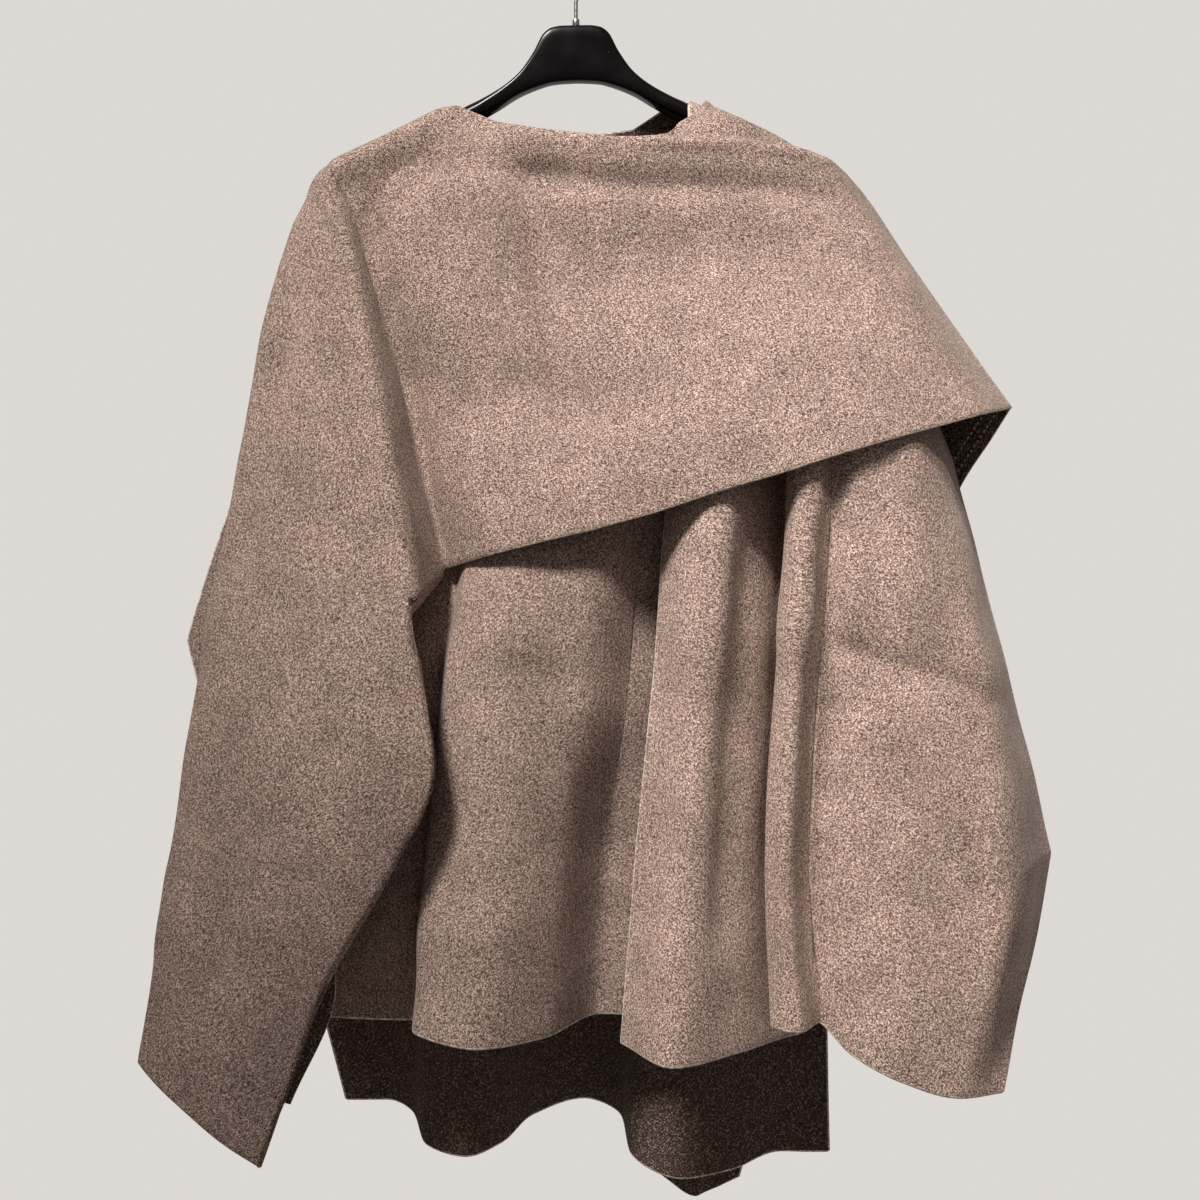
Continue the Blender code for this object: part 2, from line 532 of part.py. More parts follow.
def build():
    clear_scene()
    collection = bpy.data.collections.new(NAME)
    bpy.context.scene.collection.children.link(collection)
    parent = bpy.data.objects.new(NAME, None)
    collection.objects.link(parent)

    plastic = material("black_plastic", (0.010, 0.009, 0.009), 0.22)
    wire = material("hook_steel", (0.55, 0.55, 0.56), 0.28, 1.0)
    collar = material("ferrule_steel", (0.50, 0.50, 0.51), 0.32, 1.0)
    body_cloth = material("body_wool", (0.300, 0.215, 0.175), 0.95)
    scarf_cloth = material("scarf_wool", (0.320, 0.230, 0.190), 0.95)

    hanger_body(plastic, collection, parent)
    hanger_hook(wire, collection, parent)
    hook_ferrule(collar, collection, parent)

    arm_rows = len(OVER_ARM)
    grid = loft(front_lines(LEFT_FRONT), LEFT_FRONT_ACROSS, FRONT_DOWN, arm_rows)
    wall("left_front", grid, True, body_cloth, collection, parent)
    grid = loft(front_lines(RIGHT_FRONT), RIGHT_FRONT_ACROSS, FRONT_DOWN, arm_rows)
    wall("right_front", grid, False, body_cloth, collection, parent)
    grid = loft(back_lines(), BACK_ACROSS, BACK_DOWN, arm_rows)
    wall("back_panel", grid, False, body_cloth, collection, parent)
    grid = loft(chest_lines(), CHEST_ACROSS, CHEST_DOWN, arm_rows - 1)
    wall("scarf_chest", grid, True, scarf_cloth, collection, parent)
    grid = loft(drape_rings(), DRAPE_DOWN, DRAPE_ACROSS)
    wall("scarf_drape", grid, True, scarf_cloth, collection, parent, -1.0)
    grid = loft(tail_lines(), TAIL_ACROSS, TAIL_DOWN, arm_rows)
    wall("scarf_tail", grid, False, scarf_cloth, collection, parent)


build()
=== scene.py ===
"""Wool poncho with a draped scarf on a black hanger: the finished cloth, hanger, looks and light.

Metres, +Z up, front towards -Y, +X at the wearer's left. Each cloth piece is a thin shell on its solid's
own fold lines, with its creases pressed in.
"""

import math

import bpy
import numpy as np
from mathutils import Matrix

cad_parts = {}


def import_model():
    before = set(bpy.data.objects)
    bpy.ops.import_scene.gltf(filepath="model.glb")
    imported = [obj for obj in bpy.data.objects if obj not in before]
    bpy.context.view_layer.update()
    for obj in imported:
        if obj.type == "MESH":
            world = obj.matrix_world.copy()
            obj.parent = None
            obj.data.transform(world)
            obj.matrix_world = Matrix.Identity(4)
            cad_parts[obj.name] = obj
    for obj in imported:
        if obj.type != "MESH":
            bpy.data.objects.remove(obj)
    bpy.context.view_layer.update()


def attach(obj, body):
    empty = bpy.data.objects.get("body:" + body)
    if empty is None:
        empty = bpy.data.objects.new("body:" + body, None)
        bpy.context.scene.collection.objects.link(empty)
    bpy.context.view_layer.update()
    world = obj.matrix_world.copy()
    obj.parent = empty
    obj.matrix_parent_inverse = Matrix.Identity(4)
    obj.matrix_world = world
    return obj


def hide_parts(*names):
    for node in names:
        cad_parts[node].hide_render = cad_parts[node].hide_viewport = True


# Cloth and clearances
WALL = 0.0025
SEAM = 0.0003
SEAT = 0.0005
SCARF_SEAT = 0.0008
SCARF_LIFT = SEAT + WALL + SCARF_SEAT
# How far a turned rim and a raw cut edge swell out
RIM_ROUND = 0.0005
RAW_ROUND = 0.0018
RIM_ANGLES = [math.radians(a) for a in (50, 0, -50)]

# Lengths below this count as none, and millimetres in a metre
TINY = 1e-12
MM = 1000.0

# Longest step between points of the cloth
FRONT_PITCH = 0.0036
BACK_PITCH = 0.0053
SCARF_PITCH = 0.0058
TAIL_PITCH = 0.0070

# Hook and ferrule
WIRE_RADIUS = 0.0017
HOOK_INSIDE_RADIUS = 0.018
HOOK_START_ANGLE = math.radians(-55)
HOOK_END_ANGLE = math.radians(215)
HOOK_STEPS = 64
STEM_TOP = -0.052
BEND_STEPS = 20
WIRE_SIDES = 20
WIRE_END_SHARE = 0.75
SHARP_ANGLE = math.radians(50)
FERRULE_RADIUS = 0.0031
FERRULE_HEIGHT = 0.006
FERRULE_ROUND = 0.0006
FERRULE_SIDES = 48

# Hanger: it hangs one degree down on the wearer's right
HANGER_TOP = -0.072
HANGER_TILT = math.tan(math.radians(1.0))
ARM_START = 0.095
ARM_TIP = 0.203
LEFT_TIP = 0.213
RIGHT_TIP = -0.210
# x from the middle, top z, low z, half depth
HANGER_SECTIONS = [
    (0.000, -0.0720, -0.1200, 0.0080),
    (0.012, -0.0721, -0.1205, 0.0080),
    (0.021, -0.0736, -0.1214, 0.0080),
    (0.028, -0.0785, -0.1232, 0.0080),
    (0.037, -0.0950, -0.1262, 0.0080),
    (0.050, -0.1130, -0.1318, 0.0085),
    (0.068, -0.1268, -0.1430, 0.0095),
    (ARM_START, -0.1400, -0.1590, 0.0110),
    (ARM_TIP, -0.1915, -0.2115, 0.0155),
]
SEAT_STEPS = 2
HANGER_STEPS = 10
HANGER_RING = 48
# Squareness of the hanger's section at places from its middle: 2 is an ellipse
HEAD_SHAPE = ((0.0, 0.036, 0.085), (5.0, 5.0, 2.0))
# Two small moulding dots on the head: x and z
HEAD_DOTS = [(-0.0295, -0.0985), (0.0290, -0.0975)]
DOT_RADIUS = 0.0011
DOT_SIDES = 12
# A dot's form: share of its radius, and y from the head's face
DOT_FORM = [(1.0, 0.0003), (0.8, -0.0004), (0.4, -0.0007)]

# Angles, from the top of the arm, at which cloth lies over it
OVER_ARM = [math.radians(a) for a in (0, 30, 60, 90)]
# Places on the shoulder seam past the arm's tip, as shares of the way to the chest
SEAM_TOP = (0.0, 0.05, 0.11, 0.20)
# How far a seam goes straight from place to place, so that its wrist corner stays crisp
CORNER_SHARE = 0.85
# Part of the next stretch over which cloth that lies straight over the arm takes on its smooth form
FLAT_FADE = 3

# Body fronts and back. Each fold: name, x on the shoulder, then x y z at the chest, hip and hem.
# The last fold of a front, and the first and last of the back, run down the shoulder seam to the wrist.
LEFT_FRONT = [
    ("opening edge", 0.098, (0.083, -0.064, -0.45), (0.051, -0.070, -0.79), (0.039, -0.084, -0.928)),
    ("roll ridge", 0.111, (0.120, -0.094, -0.45), (0.092, -0.105, -0.79), (0.077, -0.131, -0.932)),
    ("roll side", 0.124, (0.150, -0.074, -0.45), (0.135, -0.078, -0.79), (0.128, -0.096, -0.932)),
    ("pleat under", 0.135, (0.188, -0.032, -0.45), (0.180, -0.034, -0.79), (0.186, -0.044, -0.933)),
    ("pleat turn", 0.142, (0.194, -0.054, -0.45), (0.185, -0.050, -0.79), (0.191, -0.060, -0.925)),
    ("pleat left", 0.149, (0.176, -0.084, -0.45), (0.157, -0.080, -0.79), (0.160, -0.093, -0.911)),
    ("pleat front", 0.156, (0.188, -0.098, -0.45), (0.170, -0.097, -0.79), (0.177, -0.110, -0.911)),
    ("pleat valley", 0.164, (0.206, -0.080, -0.45), (0.191, -0.067, -0.79), (0.199, -0.078, -0.912)),
    ("drape near", 0.175, (0.228, -0.089, -0.45), (0.223, -0.084, -0.79), (0.221, -0.100, -0.931)),
    ("drape belly", 0.188, (0.262, -0.091, -0.45), (0.274, -0.097, -0.79), (0.258, -0.112, -0.949)),
    ("drape side", 0.2055, (0.297, -0.068, -0.45), (0.338, -0.096, -0.79), (0.302, -0.108, -0.963)),
    ("shoulder seam", LEFT_TIP, (0.326, 0.000, -0.45), (0.411, 0.000, -0.79), (0.344, -0.088, -0.966)),
]
RIGHT_FRONT = [
    ("under lap", -0.118, (0.104, -0.028, -0.45), (0.092, -0.033, -0.62), (0.067, -0.040, -0.920)),
    ("valley", -0.126, (0.055, -0.036, -0.45), (0.042, -0.031, -0.62), (0.021, -0.035, -0.918)),
    ("ridge slope", -0.136, (0.012, -0.058, -0.45), (-0.002, -0.072, -0.62), (-0.027, -0.092, -0.921)),
    ("ridge", -0.148, (-0.038, -0.065, -0.45), (-0.053, -0.088, -0.62), (-0.078, -0.120, -0.921)),
    ("ridge left", -0.160, (-0.080, -0.050, -0.45), (-0.098, -0.066, -0.62), (-0.126, -0.096, -0.916)),
    ("recess turn", -0.172, (-0.092, -0.032, -0.45), (-0.108, -0.036, -0.62), (-0.134, -0.050, -0.919)),
    ("recess", -0.188, (-0.134, -0.028, -0.45), (-0.150, -0.032, -0.62), (-0.172, -0.041, -0.921)),
    ("recess out", -0.2055, (-0.205, -0.026, -0.44), (-0.228, -0.026, -0.62), (-0.214, -0.036, -0.920)),
    ("shoulder seam", RIGHT_TIP, (-0.272, 0.000, -0.41), (-0.336, 0.000, -0.605), (-0.248, -0.022, -0.915)),
]
# The back has the angle from the arm's top where the fold starts, 90 for the free neckline, and one more
# place, low, between the hip and the hem
BACK = [
    ("right seam", RIGHT_TIP, 0, (-0.272, 0.000, -0.41), (-0.336, 0.000, -0.605),
     (-0.236, 0.072, -0.940), (-0.214, 0.080, -1.033)),
    ("right far", -0.2055, 0, (-0.225, 0.044, -0.45), (-0.232, 0.066, -0.700),
     (-0.192, 0.084, -0.950), (-0.176, 0.084, -1.034)),
    ("right turn", -0.176, 0, (-0.172, 0.050, -0.45), (-0.164, 0.066, -0.750),
     (-0.154, 0.074, -0.950), (-0.152, 0.070, -1.040)),
    ("right near start", -0.148, 0, (-0.142, 0.044, -0.45), (-0.140, 0.044, -0.770),
     (-0.137, 0.042, -0.950), (-0.136, 0.040, -1.059)),
    ("right near", -0.118, 0, (-0.102, 0.040, -0.45), (-0.100, 0.033, -0.790),
     (-0.098, 0.028, -0.950), (-0.098, 0.025, -1.064)),
    ("right near end", -0.104, 50, (-0.070, 0.044, -0.45), (-0.068, 0.044, -0.790),
     (-0.066, 0.042, -0.950), (-0.066, 0.040, -1.057)),
    ("middle slope", -0.072, 90, (-0.044, 0.050, -0.45), (-0.045, 0.060, -0.790),
     (-0.043, 0.066, -0.950), (-0.042, 0.068, -1.043)),
    ("middle far", -0.005, 90, (0.000, 0.056, -0.45), (0.003, 0.078, -0.790),
     (0.005, 0.088, -0.950), (0.006, 0.092, -1.036)),
    ("left turn", 0.050, 90, (0.038, 0.052, -0.45), (0.039, 0.066, -0.790),
     (0.040, 0.070, -0.950), (0.040, 0.072, -1.044)),
    ("left near start", 0.087, 50, (0.060, 0.046, -0.45), (0.053, 0.040, -0.790),
     (0.050, 0.036, -0.950), (0.048, 0.034, -1.064)),
    ("left near", 0.100, 0, (0.096, 0.040, -0.45), (0.094, 0.028, -0.790),
     (0.093, 0.022, -0.950), (0.092, 0.018, -1.081)),
    ("left near end", 0.130, 0, (0.140, 0.042, -0.45), (0.138, 0.036, -0.790),
     (0.138, 0.033, -0.950), (0.138, 0.032, -1.078)),
    ("left far", 0.168, 0, (0.205, 0.042, -0.45), (0.195, 0.050, -0.790),
     (0.185, 0.051, -0.950), (0.184, 0.050, -1.069)),
    ("left side", 0.2055, 0, (0.268, 0.032, -0.45), (0.305, 0.040, -0.790),
     (0.212, 0.055, -0.945), (0.210, 0.052, -1.070)),
    ("left seam", LEFT_TIP, 0, (0.326, 0.000, -0.45), (0.411, 0.000, -0.790),
     (0.226, 0.056, -0.945), (0.228, 0.052, -1.070)),
]
BACK_NECK_DEPTH = 0.022
BACK_NECK_Z = -0.162
BACK_NECK_STEP = 0.010
# Extra clearance where an edge comes up over the arm at the neck
NECK_LIFT = 0.0044

# Scarf over the chest, from the shoulder to the lower edge. On the hanger's arm each line has: name, x,
# the angle from the arm's top where it starts, then x y z below the arm, at the upper and middle chest
# and the edge.
CHEST_ARM = [
    ("crease", -0.2050, 0, (-0.187, -0.027, -0.250), (-0.161, -0.030, -0.334),
     (-0.139, -0.036, -0.419), (-0.109, -0.044, -0.544)),
    ("left", -0.170, 0, (-0.152, -0.029, -0.240), (-0.124, -0.045, -0.320),
     (-0.096, -0.059, -0.420), (-0.060, -0.086, -0.532)),
    ("middle", -0.142, 0, (-0.126, -0.032, -0.228), (-0.096, -0.047, -0.304),
     (-0.062, -0.064, -0.409), (-0.021, -0.097, -0.523)),
    ("neck", -0.120, 0, (-0.104, -0.037, -0.219), (-0.075, -0.048, -0.292),
     (-0.038, -0.068, -0.402), (0.006, -0.102, -0.516)),
    ("neck edge", -0.100, 76, (-0.082, -0.041, -0.212), (-0.052, -0.049, -0.281),
     (-0.014, -0.071, -0.398), (0.034, -0.106, -0.508)),
]
COWL_TURN = 0.007
COWL_INSIDE_SHARE = 0.6
# In the neck, where the top turns in: name, x y z of the turned end, the top fold, below it and so on
CHEST_NECK = [
    ("cowl left", (-0.066, -0.020, -0.166), (-0.064, -0.031, -0.168), (-0.053, -0.041, -0.208),
     (-0.030, -0.047, -0.274), (0.010, -0.080, -0.392), (0.059, -0.109, -0.502)),
    ("cowl", (0.002, -0.024, -0.222), (0.000, -0.046, -0.1815), (0.006, -0.050, -0.215),
     (0.022, -0.052, -0.270), (0.064, -0.086, -0.383), (0.115, -0.117, -0.484)),
    ("cowl right", (0.070, -0.032, -0.224), (0.057, -0.052, -0.188), (0.064, -0.054, -0.218),
     (0.081, -0.056, -0.269), (0.122, -0.090, -0.372), (0.172, -0.121, -0.467)),
]
# On the other shoulder, where the scarf goes on over the arm: name, x on the arm, angles from the arm's
# top, then the top fold and so on
CHEST_FAR = [
    ("neck rise", 0.112, (45, 60, 75), (0.096, -0.050, -0.190), (0.103, -0.053, -0.217),
     (0.119, -0.056, -0.264), (0.160, -0.090, -0.362), (0.210, -0.119, -0.455)),
    ("neck side", 0.1215, (0, 30, 60), (0.127, -0.046, -0.190), (0.134, -0.050, -0.216),
     (0.150, -0.055, -0.259), (0.190, -0.090, -0.353), (0.240, -0.115, -0.446)),
    ("shoulder", 0.168, (0, 30, 60), (0.169, -0.040, -0.190), (0.178, -0.046, -0.215),
     (0.196, -0.052, -0.255), (0.236, -0.083, -0.341), (0.287, -0.100, -0.432)),
    ("near tip", 0.2095, (0, 30, 60), (0.210, -0.033, -0.200), (0.220, -0.037, -0.219),
     (0.242, -0.044, -0.256), (0.280, -0.066, -0.333), (0.330, -0.076, -0.420)),
]
# The fold at the scarf's far side: x on the shoulder, then x y z of places down to the corner
CHEST_FOLD_X = 0.2275
CHEST_FOLD_SHARES = (0.0, 0.35, 0.7)
CHEST_FOLD = [(0.2360, -0.003, -0.2050), (0.2462, -0.004, -0.2173), (0.2830, -0.009, -0.2752),
              (0.3208, -0.018, -0.3348), (0.3680, -0.030, -0.4085)]

# Scarf's hanging end. Each ring: name, inner edge, ridge, left fold and end of the layer behind, x y z.
# Where the inner edge is one height, it lies on the chest's crease at that height.
DRAPE = [
    ("under tip", -0.229, (-0.2065, -0.0315, -0.2290),
     (-0.2345, -0.013, -0.2300), (-0.2352, -0.006, -0.2315)),
    ("below tip", -0.250, (-0.199, -0.037, -0.250),
     (-0.243, -0.018, -0.251), (-0.243, -0.009, -0.253)),
    ("shoulder", -0.334, (-0.175, -0.056, -0.344),
     (-0.265, -0.031, -0.340), (-0.264, -0.020, -0.342)),
    ("chest", -0.419, (-0.155, -0.074, -0.431),
     (-0.278, -0.043, -0.427), (-0.268, -0.031, -0.430)),
    ("scarf edge", -0.544, (-0.131, -0.098, -0.562),
     (-0.295, -0.056, -0.537), (-0.262, -0.040, -0.545)),
    ("flank foot", (-0.131, -0.094, -0.584), (-0.129, -0.100, -0.574),
     (-0.297, -0.057, -0.549), (-0.260, -0.041, -0.557)),
    ("free edge", (-0.121, -0.102, -0.625), (-0.119, -0.112, -0.636),
     (-0.313, -0.064, -0.645), (-0.245, -0.045, -0.650)),
    ("corner", (-0.111, -0.113, -0.700), (-0.107, -0.122, -0.704),
     (-0.325, -0.068, -0.728), (-0.225, -0.049, -0.740)),
    ("upper end", (-0.144, -0.111, -0.780), (-0.140, -0.120, -0.782),
     (-0.335, -0.072, -0.800), (-0.205, -0.053, -0.805)),
    ("lower end", (-0.198, -0.105, -0.876), (-0.194, -0.114, -0.878),
     (-0.346, -0.076, -0.876), (-0.198, -0.058, -0.890)),
    ("end edge", (-0.253, -0.094, -1.020), (-0.248, -0.102, -1.023),
     (-0.354, -0.082, -0.944), (-0.234, -0.064, -0.985)),
]
# Its first rings, over the shoulder: angle from the arm's top where the ring starts, left fold, end behind
DRAPE_TOP = [
    (0, (-0.2235, -0.003, -0.2015), (-0.2245, 0.000, -0.2030)),
    (45, (-0.2265, -0.006, -0.2100), (-0.2275, -0.002, -0.2115)),
    (90, (-0.2300, -0.010, -0.2190), (-0.2310, -0.004, -0.2205)),
]
DRAPE_TOP_X = -0.2077
DRAPE_TOP_LIFT = SCARF_LIFT + SCARF_SEAT
DRAPE_TOP_RIDGE = 0.2
# Places of its belly between the ridge and the left fold, and its height, as shares of that distance
DRAPE_BELLY = (0.33, 0.72)
DRAPE_BULGE = 0.10
# Steps between places of the chest's crease, and rows below it over which the flank comes free
CREASE_STEPS = 8
END_FADE_ROWS = 16

# Scarf's end down the back. Each line: name, x on the shoulder, then x y z of two places and the end
TAIL = [
    ("inner edge", 0.1215, (0.112, 0.060, -0.30), (0.082, 0.100, -0.70), (0.060, 0.086, -1.085)),
    ("inner fold", 0.165, (0.152, 0.068, -0.33), (0.107, 0.116, -0.74), (0.084, 0.100, -1.116)),
    ("middle fold", 0.2095, (0.208, 0.064, -0.37), (0.140, 0.108, -0.77), (0.110, 0.088, -1.127)),
]
# Past the arm it starts from the chest's fold: which place there, then as above
TAIL_OUTER = [
    ("outer fold", 3, (0.268, 0.060, -0.46), (0.182, 0.110, -0.80), (0.134, 0.098, -1.121)),
    ("outer edge", 4, (0.338, 0.024, -0.475), (0.236, 0.088, -0.80), (0.150, 0.082, -1.106)),
]
TAIL_TIP_SHARE = 0.4
TAIL_START = (0.0, 0.08, 0.16, 0.3)

# Creases in millimetres, as seen from the front or the back: height, below zero for a trough, half width
# and x z places. The crest runs on from the chest to the hanging end.
SHOULDER_CREST = (6, 11, [(-95, -148), (-125, -166), (-160, -184), (-205, -206), (-230, -230)])
CHEST_CREASES = [
    (5.5, 18, [(-90, -180), (-70, -230), (-54, -296), (-36, -395), (-10, -510)]),
    (-5.5, 18, [(-50, -200), (-34, -250), (-10, -360), (12, -470)]),
    (-7, 14, [(-120, -196), (-40, -212), (60, -226), (150, -226), (250, -245)]),
    SHOULDER_CREST,
    (-6.5, 17, [(-95, -193), (-130, -204), (-155, -218), (-172, -240), (-174, -285)]),
    (-8, 45, [(-185, -380), (-110, -400), (-20, -400), (50, -395), (120, -370)]),
    (-3, 36, [(-100, -300), (0, -310), (120, -290), (280, -290)]),
    (-4, 26, [(-20, -540), (40, -505), (120, -480), (230, -450), (380, -400)]),
    (1.6, 18, [(20, -240), (60, -330), (110, -440)]),
    (-1.4, 16, [(110, -230), (150, -290), (205, -400)]),
    (1.2, 18, [(170, -225), (225, -300), (290, -400)]),
    (-6, 6, [(40, -178), (85, -178.5), (130, -179), (175, -182), (225, -194)]),
    (3, 6, [(30, -189), (85, -190), (130, -190), (175, -193), (225, -205)]),
    (-4.5, 9, [(-178, -225), (-166, -270), (-153, -330), (-136, -419), (-97, -595)]),
]
DRAPE_CREASES = [
    SHOULDER_CREST,
    (-3.5, 6, [(-205, -200), (-187, -250), (-161, -334), (-139, -419), (-97, -595)]),
    (-3, 13, [(-222, -300), (-234, -344), (-260, -456), (-273, -560)]),
    (6, 40, [(-185, -520), (-165, -620), (-150, -700), (-170, -800), (-205, -900)]),
    (4, 10, [(-207, -210), (-199, -250), (-177, -344), (-157, -431), (-133, -562), (-116, -660)]),
    (-1.8, 17, [(-290, -640), (-285, -780), (-300, -930)]),
    (1.2, 12, [(-240, -760), (-262, -860), (-270, -990)]),
]
LEFT_FRONT_CREASES = [
    (8, 17, [(102, -370), (98, -460), (91, -540), (83, -650)]),
    (8, 15, [(214, -350), (226, -450), (226, -530), (222, -630)]),
    (9, 9, [(210, -330), (206, -450), (199, -620), (192, -790), (200, -960)]),
    (8, 16, [(124, -360), (120, -450), (114, -540), (106, -660)]),
    (8, 10, [(188, -350), (187, -450), (182, -540), (176, -640)]),
    (8, 30, [(220, -330), (250, -430), (262, -520), (268, -640)]),
    (-2.6, 10, [(194, -600), (250, -620), (310, -639), (360, -668)]),
    (-4, 16, [(214, -640), (212, -695), (216, -750)]),
    (2.4, 12, [(330, -700), (342, -797), (336, -880), (328, -960)]),
    (-5, 13, [(136, -480), (132, -580), (122, -756), (114, -880)]),
    (1.4, 14, [(260, -760), (272, -850), (262, -950)]),
    (-1.4, 12, [(75, -700), (66, -800), (60, -920)]),
]
RIGHT_FRONT_CREASES = [
    (20, 45, [(56, -380), (46, -480), (36, -580), (26, -780)]),
    (19, 28, [(-128, -575), (-136, -640), (-142, -720), (-148, -810), (-150, -900)]),
    (-6, 34, [(-30, -600), (-40, -660), (-52, -740), (-62, -840)]),
    (2, 18, [(-30, -560), (-45, -700), (-60, -910)]),
    (-1.8, 14, [(-85, -600), (-98, -740), (-112, -900)]),
    (-1.4, 16, [(10, -640), (-4, -780), (-12, -910)]),
]
BACK_CREASES = [
    (-2.4, 14, [(-120, -260), (-125, -420), (-150, -600)]),
    (2.2, 18, [(-30, -230), (-20, -480), (-30, -820)]),
    (-3, 12, [(20, -300), (30, -560), (22, -760)]),
    (1.8, 20, [(-200, -420), (-190, -640), (-180, -980)]),
    (-2, 13, [(70, -420), (72, -680), (74, -1000)]),
    (-2.2, 11, [(-290, -560), (-240, -640), (-170, -690)]),
    (1.6, 16, [(300, -560), (260, -720), (230, -880)]),
]
TAIL_CREASES = [
    (-2.6, 13, [(170, -270), (140, -480), (108, -800), (90, -1040)]),
    (2.2, 16, [(215, -300), (180, -520), (130, -860), (105, -1080)]),
    (-2, 12, [(270, -420), (226, -620), (170, -860)]),
    (1.2, 10, [(130, -620), (118, -740), (98, -900)]),
]
# Share of a crease over which each end fades, points along it, and how soon it goes where cloth turns away
CREASE_FADE = 0.2
CREASE_POINTS = 20
TURN_AWAY = 3
# Slight unevenness of hung felt: height, waves per metre across and down, start
WAVES = [(0.0006, 7.0, 3.0, 0.4), (0.0005, -4.0, 9.0, 1.9), (0.0004, 13.0, 6.0, 3.1)]
# Heights z where it starts and where it is full
WAVES_FROM = -0.26
WAVES_FULL = -0.40

# Stitches near the scarf's outer edge
STITCH_LENGTH = 0.0026
STITCH_PITCH = 0.0055
STITCH_HALF_WIDTH = 0.00065
STITCH_HALF_HEIGHT = 0.00050
STITCH_SIDES = 8
# Distances of the rows from the edge, and how many of the cloth's lines reach past them
STITCH_ROWS = (0.0085, 0.0170)
STITCH_LINES = 12
# A stitch's form: place along its half length, and share of its half width there
STITCH_FORM = [(-1.0, 0.2), (-0.8, 0.7), (-0.35, 1.0), (0.35, 1.0), (0.8, 0.7), (1.0, 0.2)]

# Loose fibres on the raw edges
FIBRE_LENGTH = 0.0036
FIBRE_SHORTEST = 0.35
FIBRE_WIDTH = 0.00016
FIBRE_ROOT = 0.0008
FIBRES_PER_METRE = 700
# Spread of their directions along the edge and all ways, and of their bend
FIBRE_LEAN = 0.8
FIBRE_SPREAD = 0.35
FIBRE_BEND = 0.3
# A fibre's form: place along it, and share of its width there
FIBRE_FORM = [(0.0, 1.0), (0.5, 0.8), (1.0, 0.25)]
# The hanging end's free edge has them below this many tenths of its rows
FREE_TENTHS = 6
SEED = 11

# Wool: place in its fleck, from dark to light, and the colour there
WOOL_STOPS = [
    (0.39, (0.070, 0.042, 0.032)),
    (0.46, (0.225, 0.142, 0.110)),
    (0.54, (0.365, 0.240, 0.190)),
    (0.63, (0.860, 0.660, 0.570)),
]
WOOL_SHEEN = (0.95, 0.85, 0.78)
FLECK_SCALE = 880.0
# Fibres that lie over the fleck: angle, length and width, and share of their colour
LIGHT_FIBRES = (38.0, 0.0030, 0.0007)
DARK_FIBRES = (-47.0, 0.0026, 0.0007)
LIGHT_FIBRE_SHARE = 0.75
DARK_FIBRE_SHARE = 0.65
# Tone of each piece's wool: copies of one wool made lighter or darker to match how light falls on each
# piece, painted light and shade
LEFT_PAINTED_TONE = 1.06
RIGHT_PAINTED_TONE = 0.90
BACK_PAINTED_TONE = 0.88
SCARF_PAINTED_TONE = 0.86
# Inner side: the twill's dark and light, and its light and dark specks
TWILL_SHADES = ((0.068, 0.041, 0.031), (0.115, 0.075, 0.059))
TWILL_LIGHT_SPECK = (0.44, 0.32, 0.26)
TWILL_DARK_SPECK = (0.020, 0.012, 0.009)
# Dark and light of the raw edge, the sewing thread, the loose fibres, the plastic and the floor
EDGE_SHADES = ((0.36, 0.27, 0.22), (0.90, 0.80, 0.71))
THREAD_SHADES = ((0.72, 0.64, 0.56), (0.92, 0.86, 0.78))
FIBRE_SHADES = ((0.36, 0.27, 0.22), (0.72, 0.60, 0.52))
PLASTIC_SHADES = ((0.0022, 0.0019, 0.0019), (0.0050, 0.0043, 0.0043))
FLOOR_SHADES = ((0.70, 0.68, 0.65), (0.76, 0.74, 0.71))
# Metals: dark and light grey, least and most roughness
HOOK_METAL = (0.50, 0.62, 0.20, 0.34)
FERRULE_METAL = (0.45, 0.56, 0.24, 0.38)
METAL_BLUE = 1.01

# Camera, as the photo was taken, and light
CAMERA_PLACE = (0.0209, -1.2, -0.5705)
CAMERA_LENS = 41.38
CAMERA_SENSOR = 36.0
# Each spot: name, target, distance, angles above and to the left of straight ahead, radius, beam, power
SPOTS = [
    ("key", (0.13, -0.08, -0.43), 3.2, 51, 31, 0.36, 27, 730.0),
    ("right_spot", (0.32, -0.08, -0.52), 2.4, 54, -8, 0.10, 14, 90.0),
]
SPOT_TINT = (1.0, 0.975, 0.945)
# Light from all round, and how far back it starts and ends to rise to the backdrop's
FILL_TINT = (1.0, 0.955, 0.905)
FILL_LEVEL = 0.16
BACKDROP_LEVEL = 0.72
BACKDROP_RISE = (0.45, 0.85)
FLOOR_Z = -1.60
FLOOR_RADIUS = 0.75
FLOOR_SIDES = 96


def unit(ways):
    """Directions with a length of one."""
    return ways / np.maximum(np.linalg.norm(ways, axis=-1, keepdims=True), TINY)


def ease(share):
    """A share held between none and all, with soft ends."""
    share = np.clip(share, 0.0, 1.0)
    return share * share * (3 - 2 * share)


def turns(count):
    """Angles of that many even places round a circle."""
    return np.linspace(0, 2 * math.pi, count, endpoint=False)


def reach_of(lines):
    """How far each point lies along its line from the first: points that follow each other are rows."""
    steps = np.linalg.norm(np.diff(lines, axis=0), axis=-1)
    return np.concatenate([np.zeros((1,) + steps.shape[1:]), np.cumsum(steps, axis=0)])


